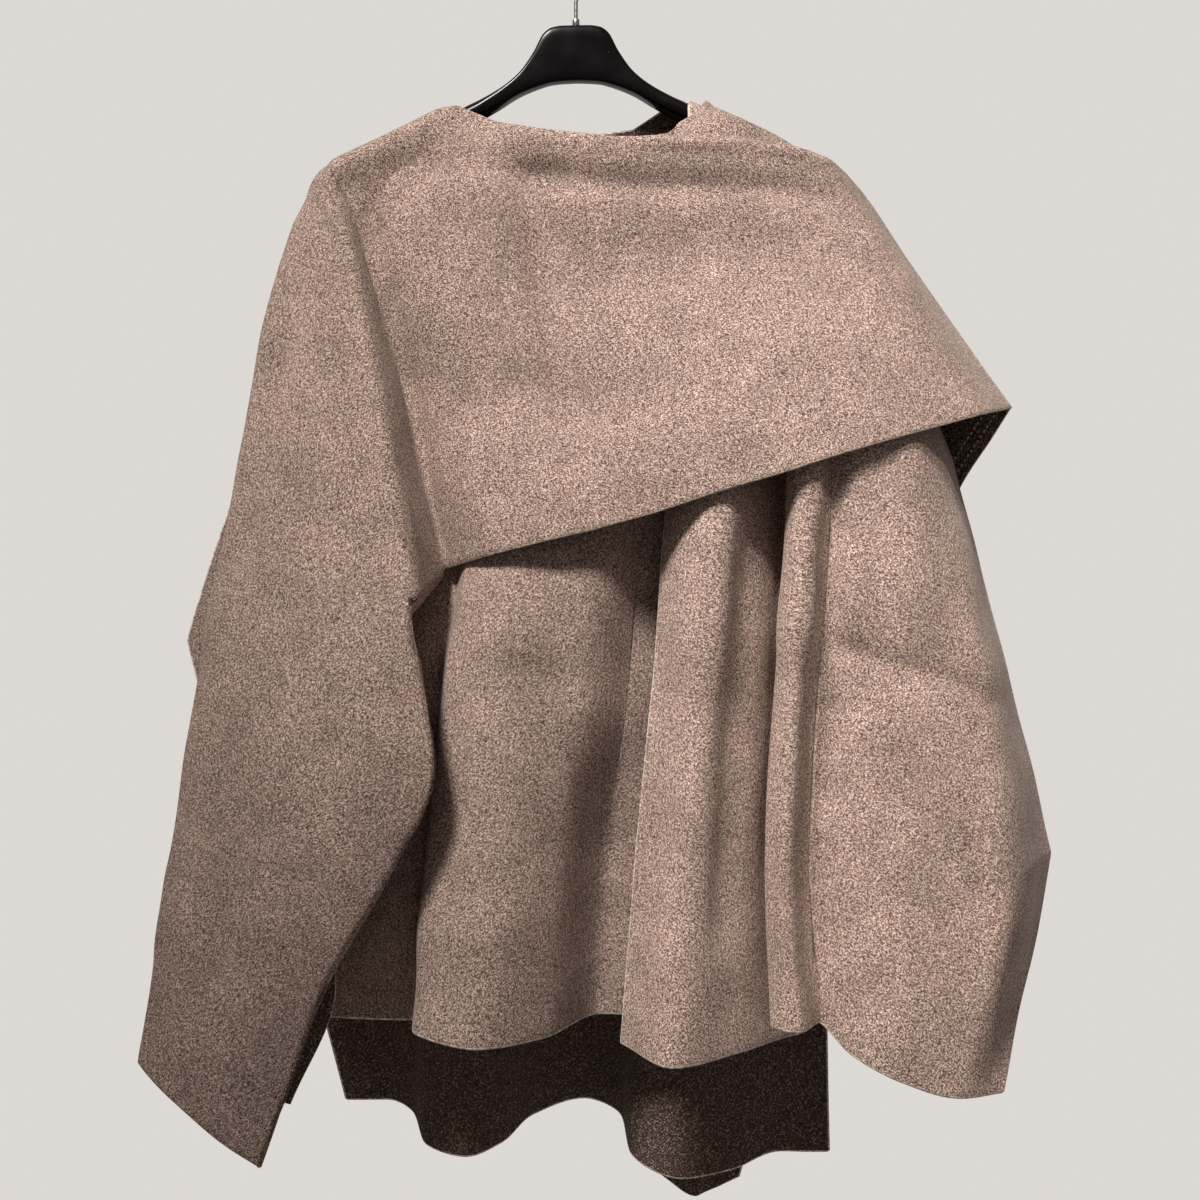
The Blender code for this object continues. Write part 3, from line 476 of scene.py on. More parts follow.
def spline(knots, points, at):
    """The smooth curve through the points, which lie at the knots, read at the places asked for.

    Its slope is zero where the points turn back, so it never swings past them.
    """
    knots, points, at = (np.asarray(x, float) for x in (knots, points, at))
    gaps = np.diff(knots)
    shape = (-1,) + (1,) * (points.ndim - 1)
    slopes = np.diff(points, axis=0) / gaps.reshape(shape)
    product = slopes[:-1] * slopes[1:]
    total = slopes[:-1] + slopes[1:]
    inner = np.where(product > 0, 2 * product / np.where(product > 0, total, 1.0), 0.0)
    tangents = np.concatenate([slopes[:1], inner, slopes[-1:]])
    i = np.clip(np.searchsorted(knots, at, side="right") - 1, 0, len(gaps) - 1)
    h = gaps[i].reshape(shape)
    t = ((at - knots[i]) / gaps[i]).reshape(shape)
    return (
        points[i] * (2 * t**3 - 3 * t**2 + 1)
        + points[i + 1] * (3 * t**2 - 2 * t**3)
        + tangents[i] * h * (t**3 - 2 * t**2 + t)
        + tangents[i + 1] * h * (t**3 - t**2)
    )


def straight(line, steps):
    """More points on the straight stretches between a line's points, or more places between knots."""
    cuts = [np.linspace(a, b, n, endpoint=False) for a, b, n in zip(line[:-1], line[1:], steps)]
    return np.concatenate(cuts + [line[-1:]])


def smooth(line, steps):
    """More points on the smooth curve through a line's points: steps divides each stretch."""
    line = np.array(line, float)
    knots = reach_of(line)
    return spline(knots, line, straight(knots, steps))


def steps_for(lines, pitch):
    """Steps between neighbouring lines, and along them, so that no step is longer than the pitch."""
    lines = np.array(lines, float)
    between = np.linalg.norm(np.diff(lines, axis=0), axis=2).max(axis=1)
    along = np.linalg.norm(np.diff(lines, axis=1), axis=2).max(axis=0)
    return [[max(1, math.ceil(length / pitch)) for length in lengths] for lengths in (between, along)]


def loft(lines, across, along, flat=0, sharp=()):
    """A grid on the smooth surface through lines of equal length.

    Over the first flat places of the lines it runs straight across, and then goes over to the smooth form.
    Sharp lines turn a corner at their places, as a sewn seam does at the wrist.
    """
    fine = np.array([smooth(line, along) for line in lines])
    for k in sharp:
        plain = straight(np.array(lines[k], float), along)
        fine[k] = fine[k] + (plain - fine[k]) * CORNER_SHARE
    rows = fine.swapaxes(0, 1)
    curved = np.array([smooth(row, across) for row in rows])
    if flat:
        plain = np.array([straight(row, across) for row in rows])
        end = sum(along[: flat - 1])
        fade = ease((np.arange(len(rows)) - end) / max(1, along[flat - 1] // FLAT_FADE))
        curved = plain + (curved - plain) * fade.reshape(-1, 1, 1)
    return curved.swapaxes(0, 1)


def hanger_sections(head_steps):
    """x, top z, low z and half depth of every section, from tip to tip."""
    head = [row for row in HANGER_SECTIONS if row[0] <= ARM_START]
    arm = [row for row in HANGER_SECTIONS if row[0] > ARM_START]
    both = np.array([(-row[0], *row[1:]) for row in reversed(head[1:])] + head)
    fine = spline(both[:, 0], both, straight(both[:, 0], [head_steps] * (len(both) - 1)))
    rows = [(-row[0], *row[1:]) for row in reversed(arm)] + fine.tolist() + arm
    return np.array([(x, top + x * HANGER_TILT, low + x * HANGER_TILT, half) for x, top, low, half in rows])


SECTIONS = hanger_sections(SEAT_STEPS)
ARM_SLOPE = (HANGER_SECTIONS[-2][1] - HANGER_SECTIONS[-1][1]) / (ARM_TIP - ARM_START)


def over_hanger(x, angle, lift):
    """A point that far above the hanger's arm at x, at an angle from its top: forward is positive."""
    top, low, half = (np.interp(x, SECTIONS[:, 0], SECTIONS[:, k]) for k in (1, 2, 3))
    past = max(abs(x) - ARM_TIP, 0.0)
    drop = past * (ARM_SLOPE - math.copysign(HANGER_TILT, x))
    top, low = top - drop, low - drop
    tall = (top - low) / 2
    return (x, -(half + lift) * math.sin(angle), (top + low) / 2 + (tall + lift) * math.cos(angle))


def mix(a, b, share):
    return tuple(p + (q - p) * share for p, q in zip(a, b))


def seam_top(x, chest, side):
    """The top of a fold on the shoulder seam, beyond the arm's tip: side is -1 in front and 1 behind."""
    tip = over_hanger(x, 0.0, SEAT)
    line = [mix(tip, chest, share) for share in SEAM_TOP]
    return [(point[0], side * SEAM / 2, point[2]) for point in line]


def arm_angles(start):
    """Angles down over the arm, from its top or that many degrees past it."""
    return np.linspace(math.radians(start), OVER_ARM[-1], len(OVER_ARM))


def arm_top(x, side, start=0):
    """The top of a fold over the hanger's arm, from its top, or an angle from it, to its front or back."""
    lift = SEAT + (NECK_LIFT if start else 0.0)
    line = [over_hanger(x, -side * angle, lift) for angle in arm_angles(start)]
    return [(line[0][0], line[0][1] + side * SEAM / 2, line[0][2])] + line[1:]


def front_lines(folds):
    """Fold lines of a front, from the shoulder to the hem."""
    lines = []
    for name, x, chest, hip, hem in folds:
        if name == "shoulder seam":
            below = [(p[0], -SEAM / 2, p[2]) for p in (chest, hip)]
            lines.append(seam_top(x, chest, -1) + below + [hem])
        else:
            lines.append(arm_top(x, -1) + [chest, hip, hem])
    return lines


def back_lines():
    """Fold lines of the back, from the shoulder or the neckline to the hem."""
    lines = []
    for name, x, start, chest, hip, low, hem in BACK:
        if name.endswith("seam"):
            below = [(p[0], SEAM / 2, p[2]) for p in (chest, hip)]
            lines.append(seam_top(x, chest, 1) + below + [low, hem])
        elif start == 90:
            shoulder = over_hanger(ARM_START, 0.0, SEAT)[2]
            scoop = BACK_NECK_Z + (shoulder - BACK_NECK_Z) * (x / ARM_START) ** 2
            top = [(x, BACK_NECK_DEPTH, scoop - BACK_NECK_STEP * k) for k in range(len(OVER_ARM))]
            lines.append(top + [chest, hip, low, hem])
        else:
            lines.append(arm_top(x, 1, start) + [chest, hip, low, hem])
    return lines


def chest_lines():
    """Lines of the scarf over the chest, from the shoulder or the turned top to its lower edge."""
    lines = []
    for _, x, start, *below in CHEST_ARM:
        lift = SCARF_LIFT + (NECK_LIFT if start else 0.0)
        lines.append([over_hanger(x, angle, lift) for angle in arm_angles(start)] + below)
    for _, end, fold, *below in CHEST_NECK:
        turn = min(COWL_TURN, (end[1] - fold[1]) / 2)
        behind = (fold[0], fold[1] + turn, fold[2] - turn / 4)
        lines.append([end, mix(end, behind, COWL_INSIDE_SHARE), behind, fold] + below)
    for _, x, angles, fold, *below in CHEST_FAR:
        lifts = [SCARF_LIFT + (NECK_LIFT if angle > 30 else 0.0) for angle in angles]
        arm = [over_hanger(x, math.radians(angle), lift) for angle, lift in zip(angles, lifts)]
        lines.append(arm + [fold] + below)
    first = over_hanger(CHEST_FOLD_X, 0.0, SCARF_LIFT)
    lines.append([mix(first, CHEST_FOLD[0], share) for share in CHEST_FOLD_SHARES] + CHEST_FOLD)
    return lines


def drape_rings():
    """Rings of the scarf's hanging end, from the shoulder to the end edge, on its outer face."""
    crease = chest_lines()[0]
    crease = smooth(crease, [CREASE_STEPS] * (len(crease) - 1))[::-1]
    places = []
    for angle, fold, behind in DRAPE_TOP:
        inner = over_hanger(DRAPE_TOP_X, math.radians(angle), DRAPE_TOP_LIFT)
        places.append((inner, mix(inner, fold, DRAPE_TOP_RIDGE), fold, behind))
    for _, inner, ridge, fold, behind in DRAPE:
        if isinstance(inner, float):
            x, y, z = (np.interp(inner, crease[:, 2], crease[:, k]) for k in range(3))
            inner = (x, y - WALL, z)
        places.append((inner, ridge, fold, behind))
    rings = []
    for inner, ridge, fold, behind in places:
        bulge = DRAPE_BULGE * math.dist(ridge, fold)
        belly = [mix(ridge, fold, share) for share in DRAPE_BELLY]
        rings.append([inner, ridge] + [(x, y - bulge, z) for x, y, z in belly] + [fold, behind])
    return rings


def tail_lines():
    """Lines of the scarf's end down the back, from the chest's top row and far fold to its end."""
    lines = []
    for _, x, *below in TAIL:
        lines.append([over_hanger(x, -angle, SCARF_LIFT) for angle in OVER_ARM] + below)
    tip = over_hanger(CHEST_FOLD_X, 0.0, SCARF_LIFT)
    below = [mix(a, b, TAIL_TIP_SHARE) for a, b in zip(TAIL[-1][2:], TAIL_OUTER[0][2:])]
    lines.append([mix(tip, below[0], share) for share in TAIL_START] + below)
    for _, place, *below in TAIL_OUTER:
        lines.append([mix(CHEST_FOLD[place], below[0], share) for share in TAIL_START] + below)
    return lines


def grid_faces(index, flip):
    """Four-sided faces on a grid of point numbers, so that they face out of the cloth."""
    quads = np.stack([index[:-1, :-1], index[1:, :-1], index[1:, 1:], index[:-1, 1:]], axis=-1)
    quads = quads.reshape(-1, 4)
    return quads[:, ::-1] if flip else quads


def cloth_map(grid):
    """Distances over the cloth, across and down, of each point of a grid."""
    return np.stack([reach_of(grid), reach_of(grid.swapaxes(0, 1)).T], axis=-1)


def normals_of(points, quads):
    """The outward direction at every point."""
    a, b, c, d = (points[quads[:, k]] for k in range(4))
    face = np.cross(c - a, d - b)
    total = np.zeros_like(points)
    for k in range(4):
        np.add.at(total, quads[:, k], face)
    return unit(total)


def nearest(flat, line):
    """How far each point lies from the smooth curve through a line's places, and how far along it."""
    shares = np.linspace(0.0, 1.0, CREASE_POINTS)
    path = spline(np.linspace(0.0, 1.0, len(line)), line, shares)
    best = np.full(len(flat), np.inf)
    share = np.zeros(len(flat))
    for k in range(CREASE_POINTS - 1):
        way = path[k + 1] - path[k]
        t = np.clip((flat - path[k]) @ way / (way @ way), 0.0, 1.0)
        gap = np.linalg.norm(flat - path[k] - t[:, None] * way, axis=1)
        closer = gap < best
        best = np.where(closer, gap, best)
        share = np.where(closer, shares[k] + t * (shares[k + 1] - shares[k]), share)
    return best, share


def press(points, normals, creases, facing):
    """Press the creases into the side of a cloth that faces the front, -1, or the back, 1."""
    total = np.zeros(len(points))
    x, z = points[:, 0], points[:, 2]
    for height, width, line in creases:
        gap, share = nearest(points[:, [0, 2]], np.array(line) / MM)
        fade = ease(np.minimum(share, 1 - share) / CREASE_FADE)
        total += height / MM * np.exp(-((gap * MM / width) ** 2)) * fade
    share = np.clip((WAVES_FROM - z) / (WAVES_FROM - WAVES_FULL), 0.0, 1.0)
    for height, across, down, start in WAVES:
        total += height * share * np.sin(2 * math.pi * (across * x + down * z) + start)
    turned = np.clip(facing * normals[:, 1] * TURN_AWAY, 0.0, 1.0)
    return points + normals * (total * turned)[:, None]


def border_of(quads):
    """The free edges of a cloth, each in the direction of its face."""
    edges = np.concatenate([quads[:, [k, (k + 1) % 4]] for k in range(4)])
    order = np.sort(edges, axis=1)
    _, first, counts = np.unique(order, axis=0, return_index=True, return_counts=True)
    return edges[first[counts == 1]]


def link(name, data):
    """Put a mesh, light or camera in the scene."""
    thing = bpy.data.objects.new(name, data)
    bpy.context.scene.collection.objects.link(thing)
    return thing


def shell(name, points, quads, places, looks, rim_round=RIM_ROUND):
    """A closed cloth shell on a surface, which is its inner face, with rounded rims."""
    normals = normals_of(points, quads)
    front = points + normals * WALL
    rear = points
    count = len(points)
    border = border_of(quads)
    rim = np.unique(border)
    away = np.zeros_like(points)
    out = np.cross(points[border[:, 1]] - points[border[:, 0]], normals[border[:, 0]])
    for k in range(2):
        np.add.at(away, border[:, k], out)
    away = unit(away[rim])
    middle = (front[rim] + rear[rim]) / 2
    half = (front[rim] - rear[rim]) / 2
    rings = [middle + half * math.sin(a) + away * rim_round * math.cos(a) for a in RIM_ANGLES]
    where = np.zeros(count, int)
    where[rim] = np.arange(len(rim))
    chains = [border] + [2 * count + len(rim) * k + where[border] for k in range(len(rings))]
    chains.append(count + border)
    strips = [np.stack([a[:, 1], a[:, 0], b[:, 0], b[:, 1]], axis=1)
              for a, b in zip(chains[:-1], chains[1:])]
    faces = np.concatenate([quads, (count + quads)[:, ::-1]] + strips)
    kinds = np.repeat([0, 1, 2], [len(quads), len(quads), sum(len(s) for s in strips)])
    mesh = bpy.data.meshes.new(name)
    mesh.from_pydata(np.concatenate([front, rear] + rings).tolist(), [], faces.tolist())
    for look in looks:
        mesh.materials.append(look)
    mesh.polygons.foreach_set("material_index", kinds)
    mesh.shade_smooth()
    spread = np.concatenate([places, places] + [places[rim]] * len(rings))
    mesh.uv_layers.new(name="cloth").data.foreach_set("uv", spread[faces.reshape(-1)].reshape(-1))
    return link(name, mesh)


def panel(name, lines, pitch, flip, creases, facing, looks, seams):
    """One body panel: its form, its creases and its shell."""
    across, along = steps_for(lines, pitch)
    grid = loft(lines, across, along, len(OVER_ARM), seams)
    points = grid.reshape(-1, 3)
    quads = grid_faces(np.arange(len(points)).reshape(grid.shape[:2]), flip)
    points = press(points, normals_of(points, quads), creases, facing)
    return shell(name, points, quads, cloth_map(grid).reshape(-1, 2), looks, RAW_ROUND)


def join_end(front, along):
    """The scarf's hanging end, led into the chest's crease: its inner face, ring by ring."""
    rings = drape_rings()
    down, across = steps_for(rings, SCARF_PITCH)
    down = list(along) + down[len(along):]
    flank = loft([ring[:2] for ring in rings], down, across[:1])
    face = loft([ring[1:] for ring in rings], down, across[1:])
    outer = np.concatenate([flank[:, :-1], face], axis=1)
    flat = outer.reshape(-1, 3)
    quads = grid_faces(np.arange(len(flat)).reshape(outer.shape[:2]), True)
    grid = (flat - normals_of(flat, quads) * WALL).reshape(outer.shape)
    joined = front.shape[1]
    shift = np.zeros((grid.shape[0], 3))
    shift[:joined] = front[0] - grid[:joined, 0]
    after = np.arange(1, grid.shape[0] - joined + 1)
    shift[joined:] = shift[joined - 1] * np.clip(1 - after / END_FADE_ROWS, 0.0, 1.0)[:, None]
    fade = np.clip(1 - np.arange(grid.shape[1]) / across[0], 0.0, 1.0)
    return grid + shift[:, None] * fade[None, :, None]


def join_tail(front, meet, across, along):
    """The scarf's end down the back, led into the chest's top row and far fold: its inner face."""
    tail = tail_lines()
    tail_across = across[-3:] + [sum(along[:-1]), along[-1]]
    _, tail_along = steps_for(tail, TAIL_PITCH)
    back = loft(tail, tail_across, tail_along, len(OVER_ARM))
    shift = front.reshape(-1, 3)[meet] - back[:, 0]
    fade = np.clip(1 - np.arange(back.shape[1]) / sum(tail_along[:3]), 0.0, 1.0)
    return back + shift[:, None] * fade[None, :, None]


def scarf_surface():
    """The whole scarf as one surface: points, faces, places on the cloth, and numbers of its two ends."""
    chest = chest_lines()
    across, along = steps_for(chest, SCARF_PITCH)
    front = loft(chest, across, along, len(OVER_ARM) - 1)
    front_index = np.arange(front.shape[0] * front.shape[1]).reshape(front.shape[:2])
    meet = np.concatenate([front_index[sum(across[:-3]):, 0], front_index[-1, 1:]])
    back = join_tail(front, meet, across, along)
    last = front_index.size + back.shape[0] * (back.shape[1] - 1)
    back_index = np.arange(front_index.size, last).reshape(back.shape[0], -1)
    back_index = np.concatenate([meet[:, None], back_index], axis=1)
    end = join_end(front, along)
    joined = front.shape[1]
    end_index = np.zeros(end.shape[:2], int)
    end_index[:joined, 0] = front_index[0]
    fresh = np.ones(end.shape[:2], bool)
    fresh[:joined, 0] = False
    end_index[fresh] = last + np.arange(fresh.sum())
    points = np.concatenate([front.reshape(-1, 3), back[:, 1:].reshape(-1, 3), end[fresh]])
    quads = np.concatenate([grid_faces(front_index, True), grid_faces(back_index, False),
                            grid_faces(end_index, True)])
    places = np.concatenate([cloth_map(front).reshape(-1, 2), -cloth_map(back)[:, 1:].reshape(-1, 2),
                             -cloth_map(end)[..., ::-1][fresh]])
    normals = normals_of(points, quads)
    pressed = points.copy()
    bounds = (0, front_index.size, last, len(points))
    for k, (creases, facing) in enumerate(((CHEST_CREASES, -1), (TAIL_CREASES, 1), (DRAPE_CREASES, -1))):
        stretch = slice(bounds[k], bounds[k + 1])
        pressed[stretch] = press(points[stretch], normals[stretch], creases, facing)
    return pressed, quads, places, back_index, end_index


def feed(tree, socket, value):
    """Join a node's output to a socket, or set the socket to a value."""
    if isinstance(value, bpy.types.NodeSocket):
        tree.links.new(value, socket)
    else:
        socket.default_value = value


def put(tree, kind, inputs=None, **settings):
    """A shader node with its settings and inputs."""
    made = tree.nodes.new(kind)
    for key, value in settings.items():
        setattr(made, key, value)
    for key, value in (inputs or {}).items():
        feed(tree, made.inputs[key], value)
    return made


def reckon(tree, operation, *values):
    made = put(tree, "ShaderNodeMath", dict(enumerate(values)), operation=operation)
    return made.outputs[0]


def blend(tree, factor, a, b, kind="MIX"):
    """Mix two colours."""
    made = put(tree, "ShaderNodeMix", data_type="RGBA", blend_type=kind)
    for place, value in ((0, factor), (6, a), (7, b)):
        feed(tree, made.inputs[place], value)
    return made.outputs[2]


def between(tree, value, low, high, to_low=0.0, to_high=1.0):
    made = put(tree, "ShaderNodeMapRange", {0: value, 1: low, 2: high, 3: to_low, 4: to_high})
    return made.outputs[0]


def noise(tree, where, scale, detail=2.0, rough=0.55, dimensions="3D"):
    made = put(tree, "ShaderNodeTexNoise", {"Vector": where, "Scale": scale, "Detail": detail,
                                            "Roughness": rough}, noise_dimensions=dimensions)
    return made.outputs[0]


def new_look(name, roughness, **sockets):
    """A material with its shader's constants set: it, its nodes, the shader and places on the piece."""
    made = bpy.data.materials.new(name)
    made.use_nodes = True
    tree = made.node_tree
    shader = tree.nodes["Principled BSDF"]
    shader.inputs["Roughness"].default_value = roughness
    for key, value in sockets.items():
        shader.inputs[key.replace("_", " ")].default_value = value
    return made, tree, shader, put(tree, "ShaderNodeTexCoord").outputs["Object"]


def lay(tree, shader, base, height=None, strength=0.0, distance=0.0):
    """Give a shader its colour, and fine relief from a height."""
    tree.links.new(base, shader.inputs["Base Color"])
    if height is not None:
        bump = put(tree, "ShaderNodeBump", {"Height": height, "Strength": strength, "Distance": distance})
        tree.links.new(bump.outputs[0], shader.inputs["Normal"])


def colour(red, green, blue):
    return (red, green, blue, 1.0)


def between_shades(tree, factor, shades):
    """The mix of a dark and a light colour."""
    return blend(tree, factor, *(colour(*shade) for shade in shades))


def turned_map(tree, angle, across, along):
    """Places on the cloth, turned and drawn out, for fibres that lie one way."""
    cloth = put(tree, "ShaderNodeUVMap", uv_map="cloth").outputs[0]
    made = put(tree, "ShaderNodeMapping", {"Vector": cloth, "Rotation": (0.0, 0.0, math.radians(angle)),
                                           "Scale": (across, along, 1.0)}, vector_type="TEXTURE")
    return made.outputs[0]


def wool_look(name, painted_tone):
    """Felted melange wool: dark, middle and light fibres, short and lying all ways, in a soft nap."""
    made, tree, shader, here = new_look(name, 0.92, Sheen_Weight=0.18, Sheen_Roughness=0.45,
                                        Specular_IOR_Level=0.15)
    shader.inputs["Sheen Tint"].default_value = colour(*WOOL_SHEEN)
    fleck = noise(tree, here, FLECK_SCALE, 2.0, 0.6)
    # The tone scales every wool colour of the piece: painted light and shade standing in for how light
    # falls on it
    shades = [(place, colour(*(c * painted_tone for c in shade))) for place, shade in WOOL_STOPS]
    dark, light = shades[0][1], shades[-1][1]
    ramp = put(tree, "ShaderNodeValToRGB", {0: fleck})
    stops = ramp.color_ramp.elements
    stops[0].position, stops[0].color = shades[0]
    stops[1].position, stops[1].color = shades[-1]
    for place, shade in shades[1:-1]:
        stops.new(place).color = shade
    rise = noise(tree, turned_map(tree, *LIGHT_FIBRES), 1.0, 1.0, 0.5, "2D")
    fall = noise(tree, turned_map(tree, *DARK_FIBRES), 1.0, 1.0, 0.5, "2D")
    base = blend(tree, between(tree, rise, 0.56, 0.70, 0.0, LIGHT_FIBRE_SHARE), ramp.outputs[0], light)
    base = blend(tree, between(tree, fall, 0.56, 0.70, 0.0, DARK_FIBRE_SHARE), base, dark)
    cloud = between(tree, noise(tree, here, 24.0, 3.0, 0.65), 0.3, 0.7, 0.84, 1.16)
    lift = put(tree, "ShaderNodeCombineColor", {0: cloud, 1: cloud, 2: cloud}).outputs[0]
    base = blend(tree, 1.0, base, lift, "MULTIPLY")
    nap = reckon(tree, "ADD", reckon(tree, "MULTIPLY", fleck, 0.6), reckon(tree, "MULTIPLY", rise, 0.4))
    lay(tree, shader, base, nap, 0.45, 0.0008)
    return made


def inside_look(name):
    """The dark brown inner side: a fine diagonal twill with light and dark specks."""
    made, tree, shader, here = new_look(name, 0.95, Sheen_Weight=0.05, Specular_IOR_Level=0.12)
    lines = put(tree, "ShaderNodeTexWave", {"Vector": turned_map(tree, 45.0, 1.0, 1.0), "Scale": 130.0,
                                            "Distortion": 1.4, "Detail": 2.0, "Detail Scale": 2.5})
    lines = lines.outputs[1]
    grain = noise(tree, here, 620.0, 2.0, 0.6)
    base = between_shades(tree, between(tree, lines, 0.15, 0.85), TWILL_SHADES)
    base = blend(tree, between(tree, grain, 0.54, 0.64, 0.0, 0.9), base, colour(*TWILL_LIGHT_SPECK))
    base = blend(tree, between(tree, grain, 0.45, 0.36, 0.0, 0.7), base, colour(*TWILL_DARK_SPECK))
    lay(tree, shader, base, lines, 0.4, 0.0006)
    return made


def edge_look(name):
    """The raw cut edge: cream and brown fibres."""
    made, tree, shader, here = new_look(name, 0.95, Sheen_Weight=0.2, Specular_IOR_Level=0.12)
    grain = noise(tree, here, 310.0, 2.0, 0.6)
    base = between_shades(tree, between(tree, grain, 0.36, 0.62), EDGE_SHADES)
    lay(tree, shader, base, grain, 0.4, 0.0006)
    return made


def thread_look(name, shades):
    """Thread or loose fibre, a little uneven in shade."""
    made, tree, shader, here = new_look(name, 0.85, Specular_IOR_Level=0.2)
    lay(tree, shader, between_shades(tree, between(tree, noise(tree, here, 700.0), 0.35, 0.65), shades))
    return made


def plastic_look(name):
    """Black moulded plastic, glossy, with faint handling marks."""
    made, tree, shader, here = new_look(name, 0.24, Specular_IOR_Level=0.2)
    marks = noise(tree, here, 45.0, 4.0, 0.6)
    lay(tree, shader, between_shades(tree, marks, PLASTIC_SHADES), noise(tree, here, 900.0), 0.05, 0.0003)
    tree.links.new(between(tree, marks, 0.3, 0.7, 0.20, 0.32), shader.inputs["Roughness"])
    return made


def metal_look(name, low, high, rough_low, rough_high):
    """Plain bright metal with fine wear."""
    made, tree, shader, here = new_look(name, rough_low, Metallic=1.0)
    wear = noise(tree, here, 260.0, 3.0, 0.6)
    lay(tree, shader, between_shades(tree, wear, [(grey, grey, grey * METAL_BLUE) for grey in (low, high)]))
    tree.links.new(between(tree, wear, 0.3, 0.7, rough_low, rough_high), shader.inputs["Roughness"])
    return made


def floor_look(name):
    """Pale, faintly clouded floor."""
    made, tree, shader, here = new_look(name, 0.85)
    lay(tree, shader, between_shades(tree, noise(tree, here, 6.0, 3.0), FLOOR_SHADES))
    return made


def solid(name, points, faces, look, crisp=False):
    """A smooth plain mesh; a crisp one has sharp corners."""
    mesh = bpy.data.meshes.new(name)
    mesh.from_pydata([tuple(p) for p in points], [], [tuple(f) for f in faces])
    mesh.materials.append(look)
    mesh.shade_smooth()
    if crisp:
        mesh.set_sharp_from_angle(angle=SHARP_ANGLE)
    return link(name, mesh)


def tube_faces(rings, sides, first=0):
    """Faces of a tube of that many rings, with flat ends."""
    faces = []
    for r in range(rings - 1):
        for k in range(sides):
            a, b = first + r * sides + k, first + r * sides + (k + 1) % sides
            faces.append((a, b, b + sides, a + sides))
    last = first + (rings - 1) * sides
    faces.append(tuple(first + k for k in reversed(range(sides))))
    faces.append(tuple(last + k for k in range(sides)))
    return faces


def hanger_body(look):
    """Moulded hanger: rounded sections from tip to tip, and two moulding dots on the head."""
    rows = hanger_sections(HANGER_STEPS)
    points = []
    for x, top, low, half in rows:
        tall, middle = (top - low) / 2, (top + low) / 2
        share = 2 / np.interp(abs(x), HEAD_SHAPE[0], HEAD_SHAPE[1])
        for a in turns(HANGER_RING):
            side, up = math.sin(a), math.cos(a)
            points.append((x, -half * math.copysign(abs(side) ** share, side),
                           middle + tall * math.copysign(abs(up) ** share, up)))
    faces = tube_faces(len(rows), HANGER_RING)
    square = HEAD_SHAPE[1][0]
    for x, z in HEAD_DOTS:
        top, low, half = (np.interp(x, rows[:, 0], rows[:, k]) for k in (1, 2, 3))
        level = (z - (top + low) / 2) / ((top - low) / 2)
        y = -half * (1 - abs(level) ** square) ** (1 / square)
        first = len(points)
        for share, rise in DOT_FORM:
            reach = DOT_RADIUS * share
            points += [(x + reach * math.cos(a), y + rise, z + reach * math.sin(a))
                       for a in turns(DOT_SIDES)]
        faces += [tuple(reversed(face)) for face in tube_faces(len(DOT_FORM), DOT_SIDES, first)]
    return solid("hanger", points, faces, look, True)


def hook_path():
    """Points along the wire, from its foot up round the hook to its free end."""
    ring = HOOK_INSIDE_RADIUS + WIRE_RADIUS
    middle = -HOOK_INSIDE_RADIUS
    start = (ring * math.cos(HOOK_START_ANGLE), middle + ring * math.sin(HOOK_START_ANGLE))
    corner = (0.0, start[1] - start[0] * math.tan(HOOK_START_ANGLE + math.pi / 2))
    path = [(0.0, HANGER_TOP + SEAM), (0.0, STEM_TOP)]
    for k in range(1, BEND_STEPS):
        t = k / BEND_STEPS
        path.append(tuple((1 - t) ** 2 * f + 2 * t * (1 - t) * c + t * t * e
                          for f, c, e in zip((0.0, STEM_TOP), corner, start)))
    for k in range(HOOK_STEPS + 1):
        angle = HOOK_START_ANGLE + (HOOK_END_ANGLE - HOOK_START_ANGLE) * k / HOOK_STEPS
        path.append((ring * math.cos(angle), middle + ring * math.sin(angle)))
    return np.array(path)


def hanger_hook(look):
    """Bent wire with a slightly narrowed free end."""
    path = hook_path()
    ahead = unit(np.gradient(path, axis=0))
    radii = [WIRE_RADIUS] * (len(path) - 1) + [WIRE_RADIUS * WIRE_END_SHARE]
    points = []
    for (x, z), (dx, dz), radius in zip(path, ahead, radii):
        for a in turns(WIRE_SIDES):
            reach = radius * math.cos(a)
            points.append((x - dz * reach, radius * math.sin(a), z + dx * reach))
    return solid("hook", points, tube_faces(len(path), WIRE_SIDES), look, True)


def hook_ferrule(look):
    """Turned collar round the foot of the wire, with eased rims."""
    bore = WIRE_RADIUS + SEAM
    low = HANGER_TOP + SEAM
    half = [(bore, 0.0), (FERRULE_RADIUS - FERRULE_ROUND, 0.0),
            (FERRULE_RADIUS - FERRULE_ROUND / 3, FERRULE_ROUND / 3), (FERRULE_RADIUS, FERRULE_ROUND)]
    profile = half + [(radius, FERRULE_HEIGHT - rise) for radius, rise in reversed(half)]
    points = [(radius * math.cos(a), radius * math.sin(a), low + rise)
              for radius, rise in profile for a in turns(FERRULE_SIDES)]
    faces = []
    for r in range(len(profile)):
        up = FERRULE_SIDES if r < len(profile) - 1 else -r * FERRULE_SIDES
        for k in range(FERRULE_SIDES):
            a, b = r * FERRULE_SIDES + k, r * FERRULE_SIDES + (k + 1) % FERRULE_SIDES
            faces.append((a, b, b + up, a + up))
    return solid("ferrule", points, faces, look, True)


def along_edge(line, pitch):
    """Places every pitch along a line of points, and the direction of the line there."""
    reach = reach_of(line)
    at = np.arange(pitch, reach[-1], pitch)
    place, later = (np.stack([np.interp(spot, reach, line[:, k]) for k in range(3)], axis=1)
                    for spot in (at, at + pitch / 4))
    return place, unit(later - place)


